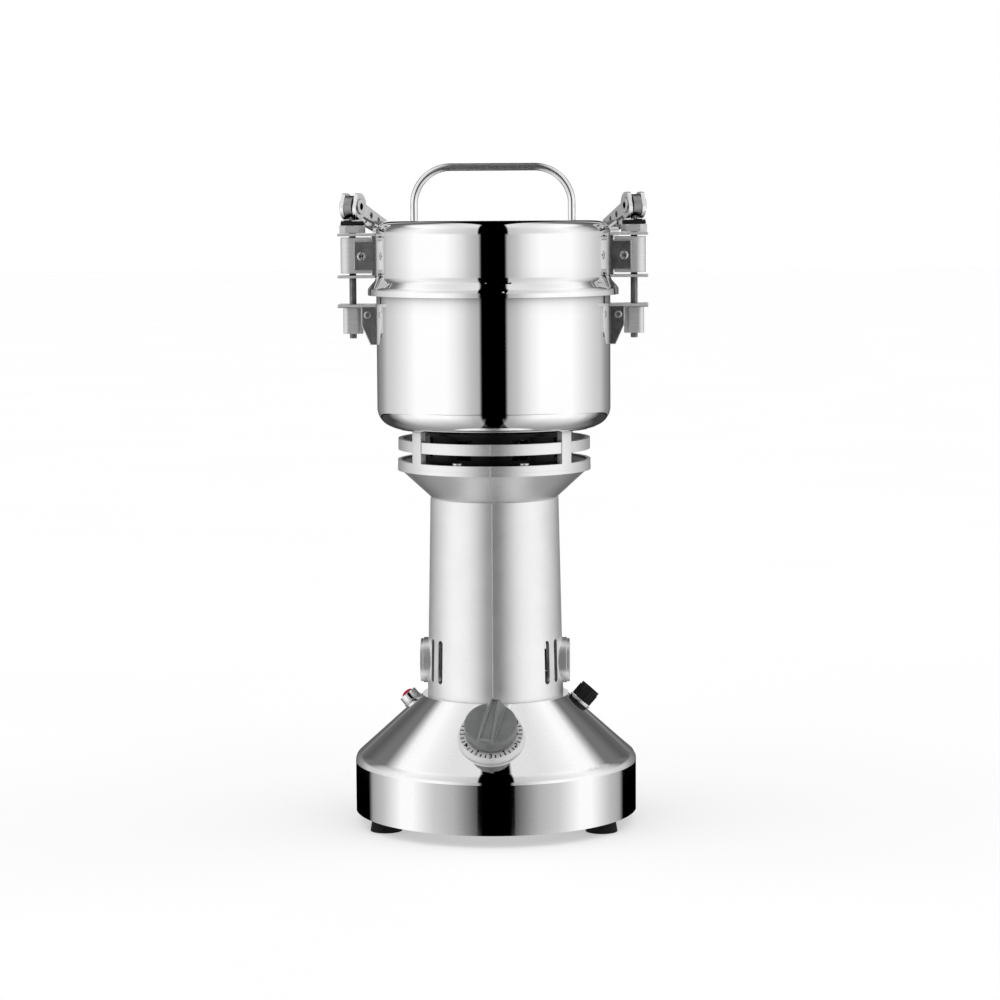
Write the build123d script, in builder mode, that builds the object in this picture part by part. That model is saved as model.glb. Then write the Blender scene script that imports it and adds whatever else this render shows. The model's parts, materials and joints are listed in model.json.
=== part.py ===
"""Electric grinder chopper: a steel bowl with a clamped lid on a motor column over a conical base.

Millimetres, Z up, the motor axis on Z, the timer dial at the front (-Y) and the feet standing on Z = 0.
"""

import os
from math import atan2, cos, degrees, hypot, radians, sin

from build123d import *

os.makedirs("parts", exist_ok=True)

# Fits shared by several pieces
press_gap = 0.02
running_gap = 0.06
free_gap = 0.3

# How far cutting shapes run past the faces that they open
overcut = 2.0
cut_span = 5.0

# Angles from the front that several pieces share
corner_angles = (45.0, 135.0, 225.0, 315.0)
side_angles = (90.0, 270.0)

# Base shell
base_radius = 85.0
base_sheet = 1.2
skirt_bottom = 7.0
shoulder_height = 40.2
shoulder_round = 8.0
cone_ledge = 3.2
cone_height = 36.8
cone_top_height = shoulder_height + cone_height
ledge_inner_radius = 29.0

# Base plate and feet
plate_bottom = 8.0
plate_sheet = 1.5
plate_rim_height = 8.0
foot_count = 3
first_foot_angle = 60.0
foot_inset = 11.0
foot_radius = 9.5
foot_top_radius = 8.2
foot_recess_radius = 4.6
foot_recess_depth = 3.2
foot_screw_radius = 2.0
foot_screw_head_radius = 4.0
foot_screw_head_height = 2.0
foot_screw_length = 9.0

# Column of two halves
column_foot_radius = 41.0
cone_top_radius = column_foot_radius + cone_ledge
column_top_radius = 38.5
column_height = 119.0
column_top = cone_top_height + column_height
column_wall = 2.5
seam_gap = 0.12
flare_radius = 56.0
flare_step = 1.0
flare_height = 17.0
flare_top = column_top + flare_height
rim_radius = 57.9
rim_height = 6.3
rim_top = flare_top + rim_height
rim_wall = 2.5
rim_ledge_rise = 2.5
rim_ledge = flare_top + rim_ledge_rise
rim_ledge_inner_radius = 49.0
collar_radius = 57.5
collar_wall = 3.0
collar_gap = 6.1
collar_bottom = rim_top + collar_gap
collar_height = 6.6
collar_top = collar_bottom + collar_height
post_angle = 50.0
post_width = 8.3
post_depth = 3.5
post_inset = 1.5
post_trim = 0.1
slot_angles = (52.0, 65.5)
slot_width = 4.4
slot_length = 26.0
slot_rise = 22.0
slot_height = cone_top_height + slot_rise
boss_rise = 20.0
boss_height = cone_top_height + boss_rise
boss_radius = 13.7
boss_reach = 43.2
boss_root = 35.0

# Ribs, lugs and screws inside the column
rib_width = 6.0
rib_step = 6.0
rib_step_reach = 2.0
lug_rise = 18.0
lug_drop = 10.0
lug_heights = (boss_height + lug_rise, column_top - lug_drop)
lug_length = 14.0
lug_height = 9.0
lug_inner = 29.2
lug_root = 1.2
lug_screw_reach = 32.1
lug_screw_radius = 1.5
lug_screw_head_radius = 2.6
lug_screw_head_height = 2.0
foot_boss_circle = 35.2
foot_boss_radius = 4.0
foot_boss_height = 12.0
column_screw_radius = 1.6
column_screw_head_radius = 3.0
column_screw_head_height = 2.2
column_screw_length = 11.0

# Brush gear
brush_cap_radius = 13.0
brush_cap_flange = 1.7
brush_spigot_radius = 9.0
brush_spigot_length = 2.0
brush_cap_slot = 2.0
brush_cap_slot_depth = 0.8
brush_holder_radius = 6.6
brush_holder_inner = 13.2
brush_radius = 3.8
brush_length = 13.0
spring_wall = 0.9

# Motor
shaft_radius = 4.0
journal_radius = 3.0
shaft_lift = 5.0
shaft_bottom = cone_top_height + shaft_lift
journal_length = 9.0
journal_top = shaft_bottom + journal_length
shaft_reach = 25.0
core_rise = 31.0
core_bottom = boss_height + core_rise
core_height = 38.0
core_top = core_bottom + core_height
stator_radius = 30.0
rotor_radius = 15.0
air_gap = 0.6
shaft_hole_gap = 0.9
coil_inner_radius = 18.0
coil_outer_radius = 27.0
coil_reach = 9.5
coil_split = 8.0
winding_radius = 13.5
winding_reach = 8.5
commutator_radius = 10.5
commutator_height = 13.0
commutator_gap = 0.5
commutator_bottom = journal_top + commutator_gap
brush_air = 0.3
fan_gap = 4.5
fan_bottom = core_top + coil_reach + fan_gap
fan_disc = 1.6
fan_height = 9.0
fan_radius = 28.0
fan_hub_radius = 8.0
fan_blades = 9
fan_blade_thickness = 1.4
fan_blade_root = 1.5
fan_edge = 0.5
lower_bearing_outer = 9.5
lower_bearing_width = 6.0
upper_bearing_outer = 11.0
upper_bearing_width = 7.0
bridge_width = 14.0
bridge_length = 73.0
bridge_thickness = 5.0
bridge_hub_radius = 13.0
bridge_hub_height = 13.0

# Black bearing plate under the bowl
bowl_lift = 6.0
bowl_bottom = collar_top + bowl_lift
shaft_top = bowl_bottom + shaft_reach
hub_radius = 38.5
hub_wall = 2.5
hub_flange_thickness = 3.0
hub_top_radius = 44.0
hub_top_thickness = 3.0
hub_windows = 7
hub_window_width = 10.0
hub_window_height = 12.0
bearing_boss_radius = 15.5
bearing_boss_height = 15.0
seal_hole_radius = 9.0
plate_screw_circle = 52.2
plate_screw_angles = (22.0, 158.0, 202.0, 338.0)
plate_screw_radius = 1.6
plate_screw_head_radius = 2.9
plate_screw_head_height = 2.0
plate_screw_depth = 4.5
bowl_screw_circle = 26.0
bowl_screw_radius = 2.0
bowl_screw_head_radius = 3.8
bowl_screw_head_height = 2.2
bowl_screw_length = 8.0

# Bowl and its seal
bowl_radius = 70.0
bowl_sheet = 1.2
bowl_corner = 12.5
bowl_depth = 80.8
bowl_rim_height = bowl_bottom + bowl_depth
bowl_rim_radius = 73.4
seal_flange_radius = 12.5
seal_flange = 2.4
seal_drop = 2.5

# Blades
blade_thickness = 2.5
lower_blade_half = 60.0
lower_blade_width = 17.0
lower_blade_cut = 14.0
blade_bevel = 1.8
upper_blade_half = 52.0
upper_blade_flat = 36.0
upper_blade_rise = 9.0
upper_blade_width = 15.0
spacer_radius = 8.0
lower_spacer = 4.0
upper_spacer = 7.0
blade_nut_width = 13.0
blade_nut_height = 7.0

# Lid
lid_radius = 70.0
lid_sheet = 1.0
lid_corner = 8.0
lid_lip_radius = 75.0
lip_overlap = 1.3
lid_lip_bottom = bowl_rim_height - lip_overlap
lip_height = 4.0
lid_lip_top = lid_lip_bottom + lip_height
step_height = 5.5
lid_step_top = lid_lip_top + step_height
lid_height = 34.5
lid_top = lid_step_top + lid_height
lid_lip_round = 4.0
lid_step_round = 6.0
seal_rest_gap = 0.25
lid_seal_inner = 69.4
lid_seal_outer = 73.1

# Wire handle
handle_half_span = 47.0
handle_wire = 2.25
handle_rise = 33.8
handle_top = lid_top + handle_rise
handle_corner = 22.0

# Clamps, drawn on the right (+X) and mirrored
clamp_standoff = 14.0
bracket_half_width = 9.5
bracket_sheet = 1.5
bracket_lift = 0.6
bracket_bottom = lid_step_top + bracket_lift
bracket_height = 26.4
bracket_top = bracket_bottom + bracket_height
bracket_past_bolt = 8.3
bracket_web = 2.0
bracket_relief = 0.5
ear_short = 1.6
ear_margin = 4.5
block_past_bolt = 7.0
block_gap_below = 1.3
block_bottom = bracket_bottom + bracket_sheet + block_gap_below
block_gap_above = 0.9
block_top = bracket_top - bracket_sheet - block_gap_above
block_round = 6.0
clamp_screw_inset = 6.0
clamp_screw_rise = 13.0
clamp_screw_height = bracket_bottom + clamp_screw_rise
clamp_screw_radius = 1.4
clamp_screw_head_radius = 2.6
clamp_screw_head_height = 1.6
clamp_screw_head_taper = 25.0
clamp_screw_length = 6.0
cross_length = 2.8
cross_width = 0.7
cross_depth = 0.8

# Cam seat, draw bolt and turned nut
seat_width = 13.5
seat_height = 4.5
seat_pad_radius = 6.6
seat_pad_height = 3.2
bolt_radius = 2.0
bolt_end = 20.5
pivot_rise = 16.0
pivot_height = bracket_top + pivot_rise
eye_radius = 6.5
eye_thickness = 5.0
nut_length = 12.0
nut_width = 7.0
nut_height = 15.4

# Cam lever
lever_inward_angle = 22.0
lever_opening = 110.0
lever_rest_drop = 16.0
cam_draw = 2.5
cam_top_radius = 7.9
cheek_step = 5
cheek_inner = 3.0
cheek_outer = 5.5
pin_radius = 3.0
pin_head_radius = 4.4
pin_head_height = 0.9
pin_hollow_radius = 2.1
pin_hollow_depth = 2.4
arm_length = 41.0
arm_root_top = 3.6
arm_tip_top = 1.4
arm_root_under = 4.5
arm_tip_under = 4.2
arm_holes = ((15.5, 1.9), (25.5, 1.7), (35.0, 1.5))
arm_hole_drop = 1.2
arm_web_length = 8.0
arm_web_thickness = 1.6
tab_drop = 8.0
tab_sweep = 4.0

# Catch brackets on the bowl
catch_drop = 5.5
catch_top = lid_lip_bottom - catch_drop
catch_height = 24.0
catch_bottom = catch_top - catch_height
bolt_bottom = catch_top - bolt_end
catch_sheet = 2.0
catch_half_width = 10.0
catch_web = 2.0
catch_past_bolt = 8.4
gusset_foot = 1.0
gusset_inset = 5.8
gusset_drop = 12.3
gusset_corner = catch_top - gusset_drop
gusset_sheet = 1.5
slot_side_gap = 0.5
rivet_inset = 2.6
rivet_drop = 6.3
rivet_height = catch_top - rivet_drop
rivet_radius = 1.8
rivet_rise = 0.8

# Timer, standing square to the cone
timer_rise = 2.4
dial_radius = 19.8
dial_face_radius = 18.6
dial_thickness = 4.0
dial_skirt = 3.5
timer_bush_radius = 6.0
timer_body_drop = 2.2
timer_body_radius = 15.5
timer_body_length = 20.0
spindle_radius = 3.0
spindle_reach = 6.0
knob_radius = 15.4
knob_face = 9.4
knob_round = 0.8
knob_lift = 0.5
knob_hub_radius = 13.2
knob_hub_height = 2.2
grip_root = 1.0
grip_low_end = 14.4
grip_high_end = 13.6
grip_low_half_width = 5.0
grip_high_half_width = 6.2
grip_end_slope = 0.6
grip_top_low_half_width = 3.0
grip_top_high_half_width = 2.3
grip_low_rise = 1.6
grip_high_rise = 7.5
grip_tilt = 12.0
groove_low_half_width = 3.4
groove_high_half_width = 1.5
groove_margin = 1.4
groove_depth = 1.2

# Push button and fuse holder on the cone
control_clear = 7.8
control_angle = 103.0
bezel_radius = 5.7
bezel_height = 5.6
bezel_flange_radius = 6.2
bezel_flange = 0.8
button_radius = 3.85
button_gap = 0.15
button_height = 6.5
button_round = 1.0
button_depth = 4.0
button_travel = 1.5
switch_radius = 7.5
switch_length = 18.0
control_hole_radius = 5.0
fuse_washer_radius = 7.2
fuse_washer = 0.8
fuse_cap_radius = 6.2
fuse_cap_top = 10.6
fuse_cap_slot = 1.4
fuse_cap_slot_length = 9.3
fuse_cap_slot_depth = 1.2
fuse_rib_count = 18
fuse_rib_radius = 0.45
fuse_rib_length = 7.5
fuse_stem_radius = 3.4
fuse_stem_depth = 5.0
fuse_body_radius = 4.9
fuse_body_length = 32.0
fuse_body_end = 2.0
fuse_bore_radius = 3.7
fuse_link_radius = 2.6
fuse_link_length = 20.0

# Cord bush at the back
bush_height = 22.0
bush_flange_radius = 8.5
bush_flange = 1.5
bush_radius = 6.0
bush_length = 12.0
bush_bore = 3.6


def offset_point(points, index, distance):
    """The mitred point at a distance to the left of a line of points."""
    normals = []
    for start, end in ((index - 1, index), (index, index + 1)):
        if 0 <= start and end < len(points):
            run = points[end][0] - points[start][0]
            rise = points[end][1] - points[start][1]
            size = hypot(run, rise)
            normals.append((-rise / size, run / size))
    along = sum(n[0] for n in normals)
    across = sum(n[1] for n in normals)
    scale = distance * len(normals) / (along * along + across * across)
    return (points[index][0] + along * scale, points[index][1] + across * scale)


def sheet_outline(points, thickness):
    """A closed outline of a sheet of even thickness to the left of a line of points."""
    inner = [offset_point(points, i, thickness) for i in range(len(points))]
    return list(points) + inner[::-1]


def round_corner(corner, radius):
    """Round the corner of the sketch that lies at a point."""
    fillet(vertices().sort_by_distance((corner[0], corner[1], 0))[0], radius)


def rod(plane, radius, start, end, mode=Mode.ADD):
    """A round bar along a plane's normal."""
    with BuildSketch(plane.offset(start)) as section:
        Circle(radius)
    extrude(section.sketch, amount=end - start, mode=mode)


def tube(plane, outer, inner, start, end, mode=Mode.ADD):
    """A round tube along a plane's normal."""
    with BuildSketch(plane.offset(start)) as section:
        Circle(outer)
        Circle(inner, mode=Mode.SUBTRACT)
    extrude(section.sketch, amount=end - start, mode=mode)


def slab(low, high, mode=Mode.ADD):
    """A square-cornered block between two corners."""
    sizes = [b - a for a, b in zip(low, high)]
    with BuildSketch(Plane.XY.offset(low[2])) as section:
        with Locations(((low[0] + high[0]) / 2, (low[1] + high[1]) / 2)):
            Rectangle(sizes[0], sizes[1])
    extrude(section.sketch, amount=sizes[2], mode=mode)


def radial_plane(angle, height, reach=0.0):
    """A plane facing outward at an angle from the front, its local Y pointing up."""
    turn = radians(angle - 90)
    outward = (cos(turn), sin(turn), 0)
    return Plane(
        origin=(outward[0] * reach, outward[1] * reach, height),
        x_dir=(-sin(turn), cos(turn), 0),
        z_dir=outward,
    )


def on_circle(radius, angle):
    """A point on a circle about the motor axis, at an angle from the front."""
    turn = radians(angle - 90)
    return (radius * cos(turn), radius * sin(turn))


def save(piece, label):
    """Name a finished piece and write it out."""
    piece.part.label = label
    export_step(piece.part, f"parts/{label}.step")


# Lines that several pieces follow
base_line = [
    (base_radius, skirt_bottom),
    (base_radius, shoulder_height),
    (cone_top_radius, cone_top_height),
    (ledge_inner_radius, cone_top_height),
]
shoulder = base_line[1]
cone_slope = atan2(cone_top_height - shoulder_height, base_radius - cone_top_radius)


def cone_height(reach):
    """Height of the outer cone at a distance from the motor axis."""
    return shoulder_height + (base_radius - reach) * sin(cone_slope) / cos(cone_slope)


def column_radius(height):
    """Outer radius of the tapered column at a height."""
    share = (height - cone_top_height) / (column_top - cone_top_height)
    return column_foot_radius + (column_top_radius - column_foot_radius) * share


def cone_plane(angle, reach):
    """A plane lying on the cone at an angle from the front, its local Y pointing up the slope."""
    turn = radians(angle - 90)
    return Plane(
        origin=(reach * cos(turn), reach * sin(turn), cone_height(reach)),
        x_dir=(-sin(turn), cos(turn), 0),
        z_dir=(sin(cone_slope) * cos(turn), sin(cone_slope) * sin(turn), cos(cone_slope)),
    )


# Where the controls, the feet and the column screws stand
timer_reach = (cone_top_radius + base_radius) / 2 - timer_rise
control_reach = cone_top_radius + control_clear
timer_plane = cone_plane(0, timer_reach).offset(dial_thickness)
button_plane = cone_plane(-control_angle, control_reach)
fuse_plane = cone_plane(control_angle, control_reach)
bush_plane = Plane(origin=(0, base_radius, bush_height), x_dir=(-1, 0, 0), z_dir=(0, 1, 0))
foot_circle_radius = base_radius - foot_inset
foot_angles = [first_foot_angle + 360 / foot_count * i for i in range(foot_count)]
foot_points = [on_circle(foot_circle_radius, a) for a in foot_angles]
column_screw_points = [on_circle(foot_boss_circle, a) for a in corner_angles]

# Where the clamps stand
clamp_radius = lid_radius + clamp_standoff
bracket_web_face = lid_radius + bracket_web
bracket_reach = clamp_radius + bracket_past_bolt
clamp_screw_reach = clamp_radius - clamp_screw_inset
clamp_axis = Plane(origin=(clamp_radius, 0, 0))

# Solid inside the base's outer skin, used to trim what stands on it
with BuildPart() as base_envelope:
    with BuildSketch(Plane.XZ):
        Polygon(*base_line, (0, cone_top_height), (0, skirt_bottom), align=None)
        round_corner(shoulder, shoulder_round)
    revolve(axis=Axis.Z)

# Base shell
with BuildPart() as base_shell:
    with BuildSketch(Plane.XZ):
        Polygon(*sheet_outline(base_line, base_sheet), align=None)
        round_corner(shoulder, shoulder_round)
        round_corner(offset_point(base_line, 1, base_sheet), shoulder_round - base_sheet)
    revolve(axis=Axis.Z)
    rod(timer_plane, timer_bush_radius + free_gap, -dial_thickness - cut_span, 0, Mode.SUBTRACT)
    rod(button_plane, control_hole_radius + free_gap, -cut_span, cut_span, Mode.SUBTRACT)
    rod(fuse_plane, fuse_body_radius + free_gap, -cut_span, cut_span, Mode.SUBTRACT)
    rod(bush_plane, bush_radius, -cut_span, cut_span, Mode.SUBTRACT)
    with BuildSketch(Plane.XY.offset(cone_top_height)):
        with Locations(*column_screw_points):
            Circle(column_screw_radius + press_gap)
    extrude(amount=-cut_span, mode=Mode.SUBTRACT)
save(base_shell, "base_shell")

# Base plate, a shallow pan pushed up into the skirt
plate_radius = base_radius - base_sheet - press_gap
with BuildPart() as base_plate:
    rod(Plane.XY, plate_radius, plate_bottom, plate_bottom + plate_rim_height)
    rod(
        Plane.XY,
        plate_radius - plate_sheet,
        plate_bottom + plate_sheet,
        plate_bottom + plate_rim_height,
        Mode.SUBTRACT,
    )
    with BuildSketch(Plane.XY.offset(plate_bottom)):
        with Locations(*foot_points):
            Circle(foot_screw_radius + press_gap)
    extrude(amount=plate_sheet, mode=Mode.SUBTRACT)
save(base_plate, "base_plate")

# Rubber feet
with BuildPart() as rubber_feet:
    for point in foot_points:
        with BuildSketch(Plane.XY):
            with Locations(point):
                Circle(foot_radius)
        with BuildSketch(Plane.XY.offset(plate_bottom)):
            with Locations(point):
                Circle(foot_top_radius)
        loft()
    with BuildSketch(Plane.XY):
        with Locations(*foot_points):
            Circle(foot_recess_radius)
    extrude(amount=foot_recess_depth, mode=Mode.SUBTRACT)
    with BuildSketch(Plane.XY):
        with Locations(*foot_points):
            Circle(foot_screw_radius + press_gap)
    extrude(amount=plate_bottom, mode=Mode.SUBTRACT)
save(rubber_feet, "rubber_feet")

# Screws through the feet into the base plate, and up through the ledge into the column
foot_screw_seat = foot_recess_depth - foot_screw_head_height
ledge_under = cone_top_height - base_sheet
with BuildPart() as base_screws:
    with BuildSketch(Plane.XY.offset(foot_screw_seat)):
        with Locations(*foot_points):
            Circle(foot_screw_head_radius)
    extrude(amount=foot_screw_head_height)
    with BuildSketch(Plane.XY.offset(foot_recess_depth)):
        with Locations(*foot_points):
            Circle(foot_screw_radius)
    extrude(amount=foot_screw_length)
    with BuildSketch(Plane.XY.offset(ledge_under - column_screw_head_height)):
        with Locations(*column_screw_points):
            Circle(column_screw_head_radius)
    extrude(amount=column_screw_head_height)
    with BuildSketch(Plane.XY.offset(ledge_under)):
        with Locations(*column_screw_points):
            Circle(column_screw_radius)
    extrude(amount=column_screw_length)
save(base_screws, "base_screws")

# Cord bush at the back of the skirt
with BuildPart() as cord_bush:
    rod(bush_plane, bush_flange_radius, -bush_flange, bush_flange)
    add(base_envelope.part, mode=Mode.SUBTRACT)
    rod(bush_plane, bush_radius - press_gap, -bush_length, bush_flange)
    rod(bush_plane, bush_bore, -bush_length, bush_flange, Mode.SUBTRACT)
save(cord_bush, "cord_bush")

# Column, flare, collar and posts as one casting, before it is split in two
inner_foot = column_foot_radius - column_wall
inner_top = column_top_radius - column_wall
flare_inner_rise = rim_ledge_inner_radius - inner_top
housing_outline = [
    (column_foot_radius, cone_top_height),
    (column_top_radius, column_top),
    (column_top_radius - flare_step, column_top),
    (flare_radius, flare_top),
    (rim_radius, flare_top),
    (rim_radius, rim_top),
    (rim_radius - rim_wall, rim_top),
    (rim_radius - rim_wall, rim_ledge),
    (rim_ledge_inner_radius, rim_ledge),
    (rim_ledge_inner_radius, column_top + flare_inner_rise),
    (inner_top, column_top + column_wall / 2),
    (inner_foot, cone_top_height),
]
post_angles = [post_angle, 180 - post_angle, 180 + post_angle, 360 - post_angle]
plate_screw_points = [on_circle(plate_screw_circle, a) for a in plate_screw_angles]
post_start = rim_radius - rim_wall - post_inset
post_middle = (rim_ledge + bowl_bottom) / 2
lug_planes = []
for height in lug_heights:
    for reach in (-lug_screw_reach, lug_screw_reach):
        lug_planes.append(Plane(origin=(0, reach, height), x_dir=(0, 1, 0), z_dir=(1, 0, 0)))
with BuildPart() as housing_whole:
    with BuildSketch(Plane.XZ):
        Polygon(*housing_outline, align=None)
    revolve(axis=Axis.Z)
    tube(Plane.XY, collar_radius, collar_radius - collar_wall, collar_bottom, collar_top)
    for angle in post_angles:
        with BuildSketch(radial_plane(angle, post_middle, post_start)):
            Rectangle(post_width, bowl_bottom - rim_ledge)
        extrude(amount=post_depth + post_inset)
    with BuildSketch(Plane.XY.offset(rim_ledge)):
        Circle(rim_radius + post_depth + overcut)
        Circle(rim_radius - post_trim, mode=Mode.SUBTRACT)
    extrude(amount=bowl_bottom - rim_ledge, mode=Mode.SUBTRACT)
    for side in side_angles:
        rod(radial_plane(side, boss_height), boss_radius, boss_root, boss_reach)
        rod(radial_plane(side, boss_height), brush_holder_radius + press_gap, 0, boss_reach, Mode.SUBTRACT)
        rod(
            radial_plane(side, boss_height),
            brush_spigot_radius + press_gap,
            boss_reach - brush_spigot_length,
            boss_reach,
            Mode.SUBTRACT,
        )
    for angle in slot_angles:
        for turn in (angle, 180 - angle, 180 + angle, 360 - angle):
            with BuildSketch(radial_plane(turn, slot_height, inner_top - cut_span)):
                SlotOverall(slot_length, slot_width, rotation=90)
            extrude(amount=column_wall + cut_span * 2, mode=Mode.SUBTRACT)
    for angle in corner_angles:
        with BuildSketch(radial_plane(angle, (core_bottom + core_top) / 2, stator_radius)):
            Rectangle(rib_width, core_top - core_bottom)
        extrude(until=Until.NEXT)
        with BuildSketch(radial_plane(angle, core_bottom - rib_step / 2, stator_radius - rib_step_reach)):
            Rectangle(rib_width, rib_step)
        extrude(until=Until.NEXT)
        with BuildSketch(Plane.XY.offset(cone_top_height)):
            with Locations(on_circle(foot_boss_circle, angle)):
                Circle(foot_boss_radius)
        extrude(amount=foot_boss_height)
        with BuildSketch(Plane.XY.offset(cone_top_height)):
            with Locations(on_circle(foot_boss_circle, angle)):
                Circle(column_screw_radius + press_gap)
        extrude(amount=foot_boss_height, mode=Mode.SUBTRACT)
    for height in lug_heights:
        lug_outer = column_radius(height) - column_wall + lug_root
        for low in (-lug_outer, lug_inner):
            slab(
                (-lug_length / 2, low, height - lug_height / 2),
                (lug_length / 2, low + lug_outer - lug_inner, height + lug_height / 2),
            )
    for plane in lug_planes:
        rod(plane, lug_screw_radius + press_gap, -lug_length / 2, lug_length / 2, Mode.SUBTRACT)
    with BuildSketch(Plane.XY.offset(rim_ledge)):
        with Locations(*plate_screw_points):
            Circle(plate_screw_radius + press_gap)
    extrude(amount=-plate_screw_depth - press_gap, mode=Mode.SUBTRACT)

with BuildPart() as housing_left:
    add(housing_whole.part)
    split(bisect_by=Plane.YZ.offset(-seam_gap / 2), keep=Keep.BOTTOM)
save(housing_left, "housing_left")

with BuildPart() as housing_right:
    add(housing_whole.part)
    split(bisect_by=Plane.YZ.offset(seam_gap / 2), keep=Keep.TOP)
save(housing_right, "housing_right")

# Screws that hold the column halves together
with BuildPart() as housing_screws:
    for plane in lug_planes:
        rod(plane, lug_screw_radius, -lug_length / 2, lug_length / 2)
        rod(plane, lug_screw_head_radius, lug_length / 2, lug_length / 2 + lug_screw_head_height)
save(housing_screws, "housing_screws")

# Brush gear, the same on both sides
commutator_edge = commutator_radius + brush_air
spring_start = commutator_edge + brush_length
spring_end = boss_reach - brush_spigot_length
with BuildPart() as brush_caps:
    for side in side_angles:
        cap_plane = radial_plane(side, boss_height)
        rod(cap_plane, brush_cap_radius, boss_reach, boss_reach + brush_cap_flange)
        rod(cap_plane, brush_spigot_radius, spring_end, boss_reach)
        with BuildSketch(cap_plane.offset(boss_reach + brush_cap_flange)):
            Rectangle(brush_cap_radius, brush_cap_slot)
        extrude(amount=-brush_cap_slot_depth, mode=Mode.SUBTRACT)
save(brush_caps, "brush_caps")

with BuildPart() as brush_holders:
    for side in side_angles:
        holder_plane = radial_plane(side, boss_height)
        tube(holder_plane, brush_holder_radius, brush_radius + press_gap, brush_holder_inner, spring_end)
save(brush_holders, "brush_holders")

with BuildPart() as carbon_brushes:
    for side in side_angles:
        rod(radial_plane(side, boss_height), brush_radius, commutator_edge, spring_start)
save(carbon_brushes, "carbon_brushes")

with BuildPart() as brush_springs:
    for side in side_angles:
        spring_plane = radial_plane(side, boss_height)
        tube(spring_plane, brush_radius, brush_radius - spring_wall, spring_start, spring_end)
save(brush_springs, "brush_springs")

# Motor
with BuildPart() as stator_core:
    tube(Plane.XY, stator_radius, rotor_radius + air_gap, core_bottom, core_top)
save(stator_core, "stator_core")

with BuildPart() as field_coils:
    for low in (core_bottom - coil_reach, core_top):
        tube(Plane.XY, coil_outer_radius, coil_inner_radius, low, low + coil_reach)
    slab(
        (-coil_split / 2, -coil_outer_radius, core_bottom - coil_reach),
        (coil_split / 2, coil_outer_radius, core_top + coil_reach),
        Mode.SUBTRACT,
    )
save(field_coils, "field_coils")

bearing_seat_low = cone_top_height + bridge_hub_height - lower_bearing_width
with BuildPart() as lower_bearing_bridge:
    slab(
        (-bridge_width / 2, -bridge_length / 2, cone_top_height),
        (bridge_width / 2, bridge_length / 2, cone_top_height + bridge_thickness),
    )
    rod(Plane.XY, bridge_hub_radius, cone_top_height, cone_top_height + bridge_hub_height)
    rod(
        Plane.XY,
        lower_bearing_outer + press_gap,
        bearing_seat_low,
        cone_top_height + bridge_hub_height,
        Mode.SUBTRACT,
    )
    rod(Plane.XY, journal_radius + shaft_hole_gap, cone_top_height, bearing_seat_low, Mode.SUBTRACT)
save(lower_bearing_bridge, "lower_bearing_bridge")

with BuildPart() as lower_bearing:
    tube(
        Plane.XY,
        lower_bearing_outer,
        journal_radius + running_gap,
        bearing_seat_low,
        bearing_seat_low + lower_bearing_width,
    )
save(lower_bearing, "lower_bearing")

with BuildPart() as motor_shaft:
    rod(Plane.XY, journal_radius, shaft_bottom, journal_top)
    rod(Plane.XY, shaft_radius, journal_top, shaft_top)
save(motor_shaft, "motor_shaft")

with BuildPart() as armature:
    tube(Plane.XY, rotor_radius, shaft_radius + press_gap, core_bottom, core_top)
    for low in (core_bottom - winding_reach, core_top):
        tube(Plane.XY, winding_radius, shaft_radius + press_gap, low, low + winding_reach)
save(armature, "armature")

with BuildPart() as commutator:
    tube(
        Plane.XY,
        commutator_radius,
        shaft_radius + press_gap,
        commutator_bottom,
        commutator_bottom + commutator_height,
    )
save(commutator, "commutator")

fan_blade_inner = fan_hub_radius - fan_blade_root
fan_blade_outer = fan_radius - fan_edge
with BuildPart() as cooling_fan:
    rod(Plane.XY, fan_radius, fan_bottom, fan_bottom + fan_disc)
    rod(Plane.XY, fan_hub_radius, fan_bottom, fan_bottom + fan_height)
    with BuildSketch(Plane.XY.offset(fan_bottom)):
        with PolarLocations((fan_blade_inner + fan_blade_outer) / 2, fan_blades):
            Rectangle(fan_blade_outer - fan_blade_inner, fan_blade_thickness)
    extrude(amount=fan_height)
    rod(Plane.XY, shaft_radius + press_gap, fan_bottom, fan_bottom + fan_height, Mode.SUBTRACT)
save(cooling_fan, "cooling_fan")

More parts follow.
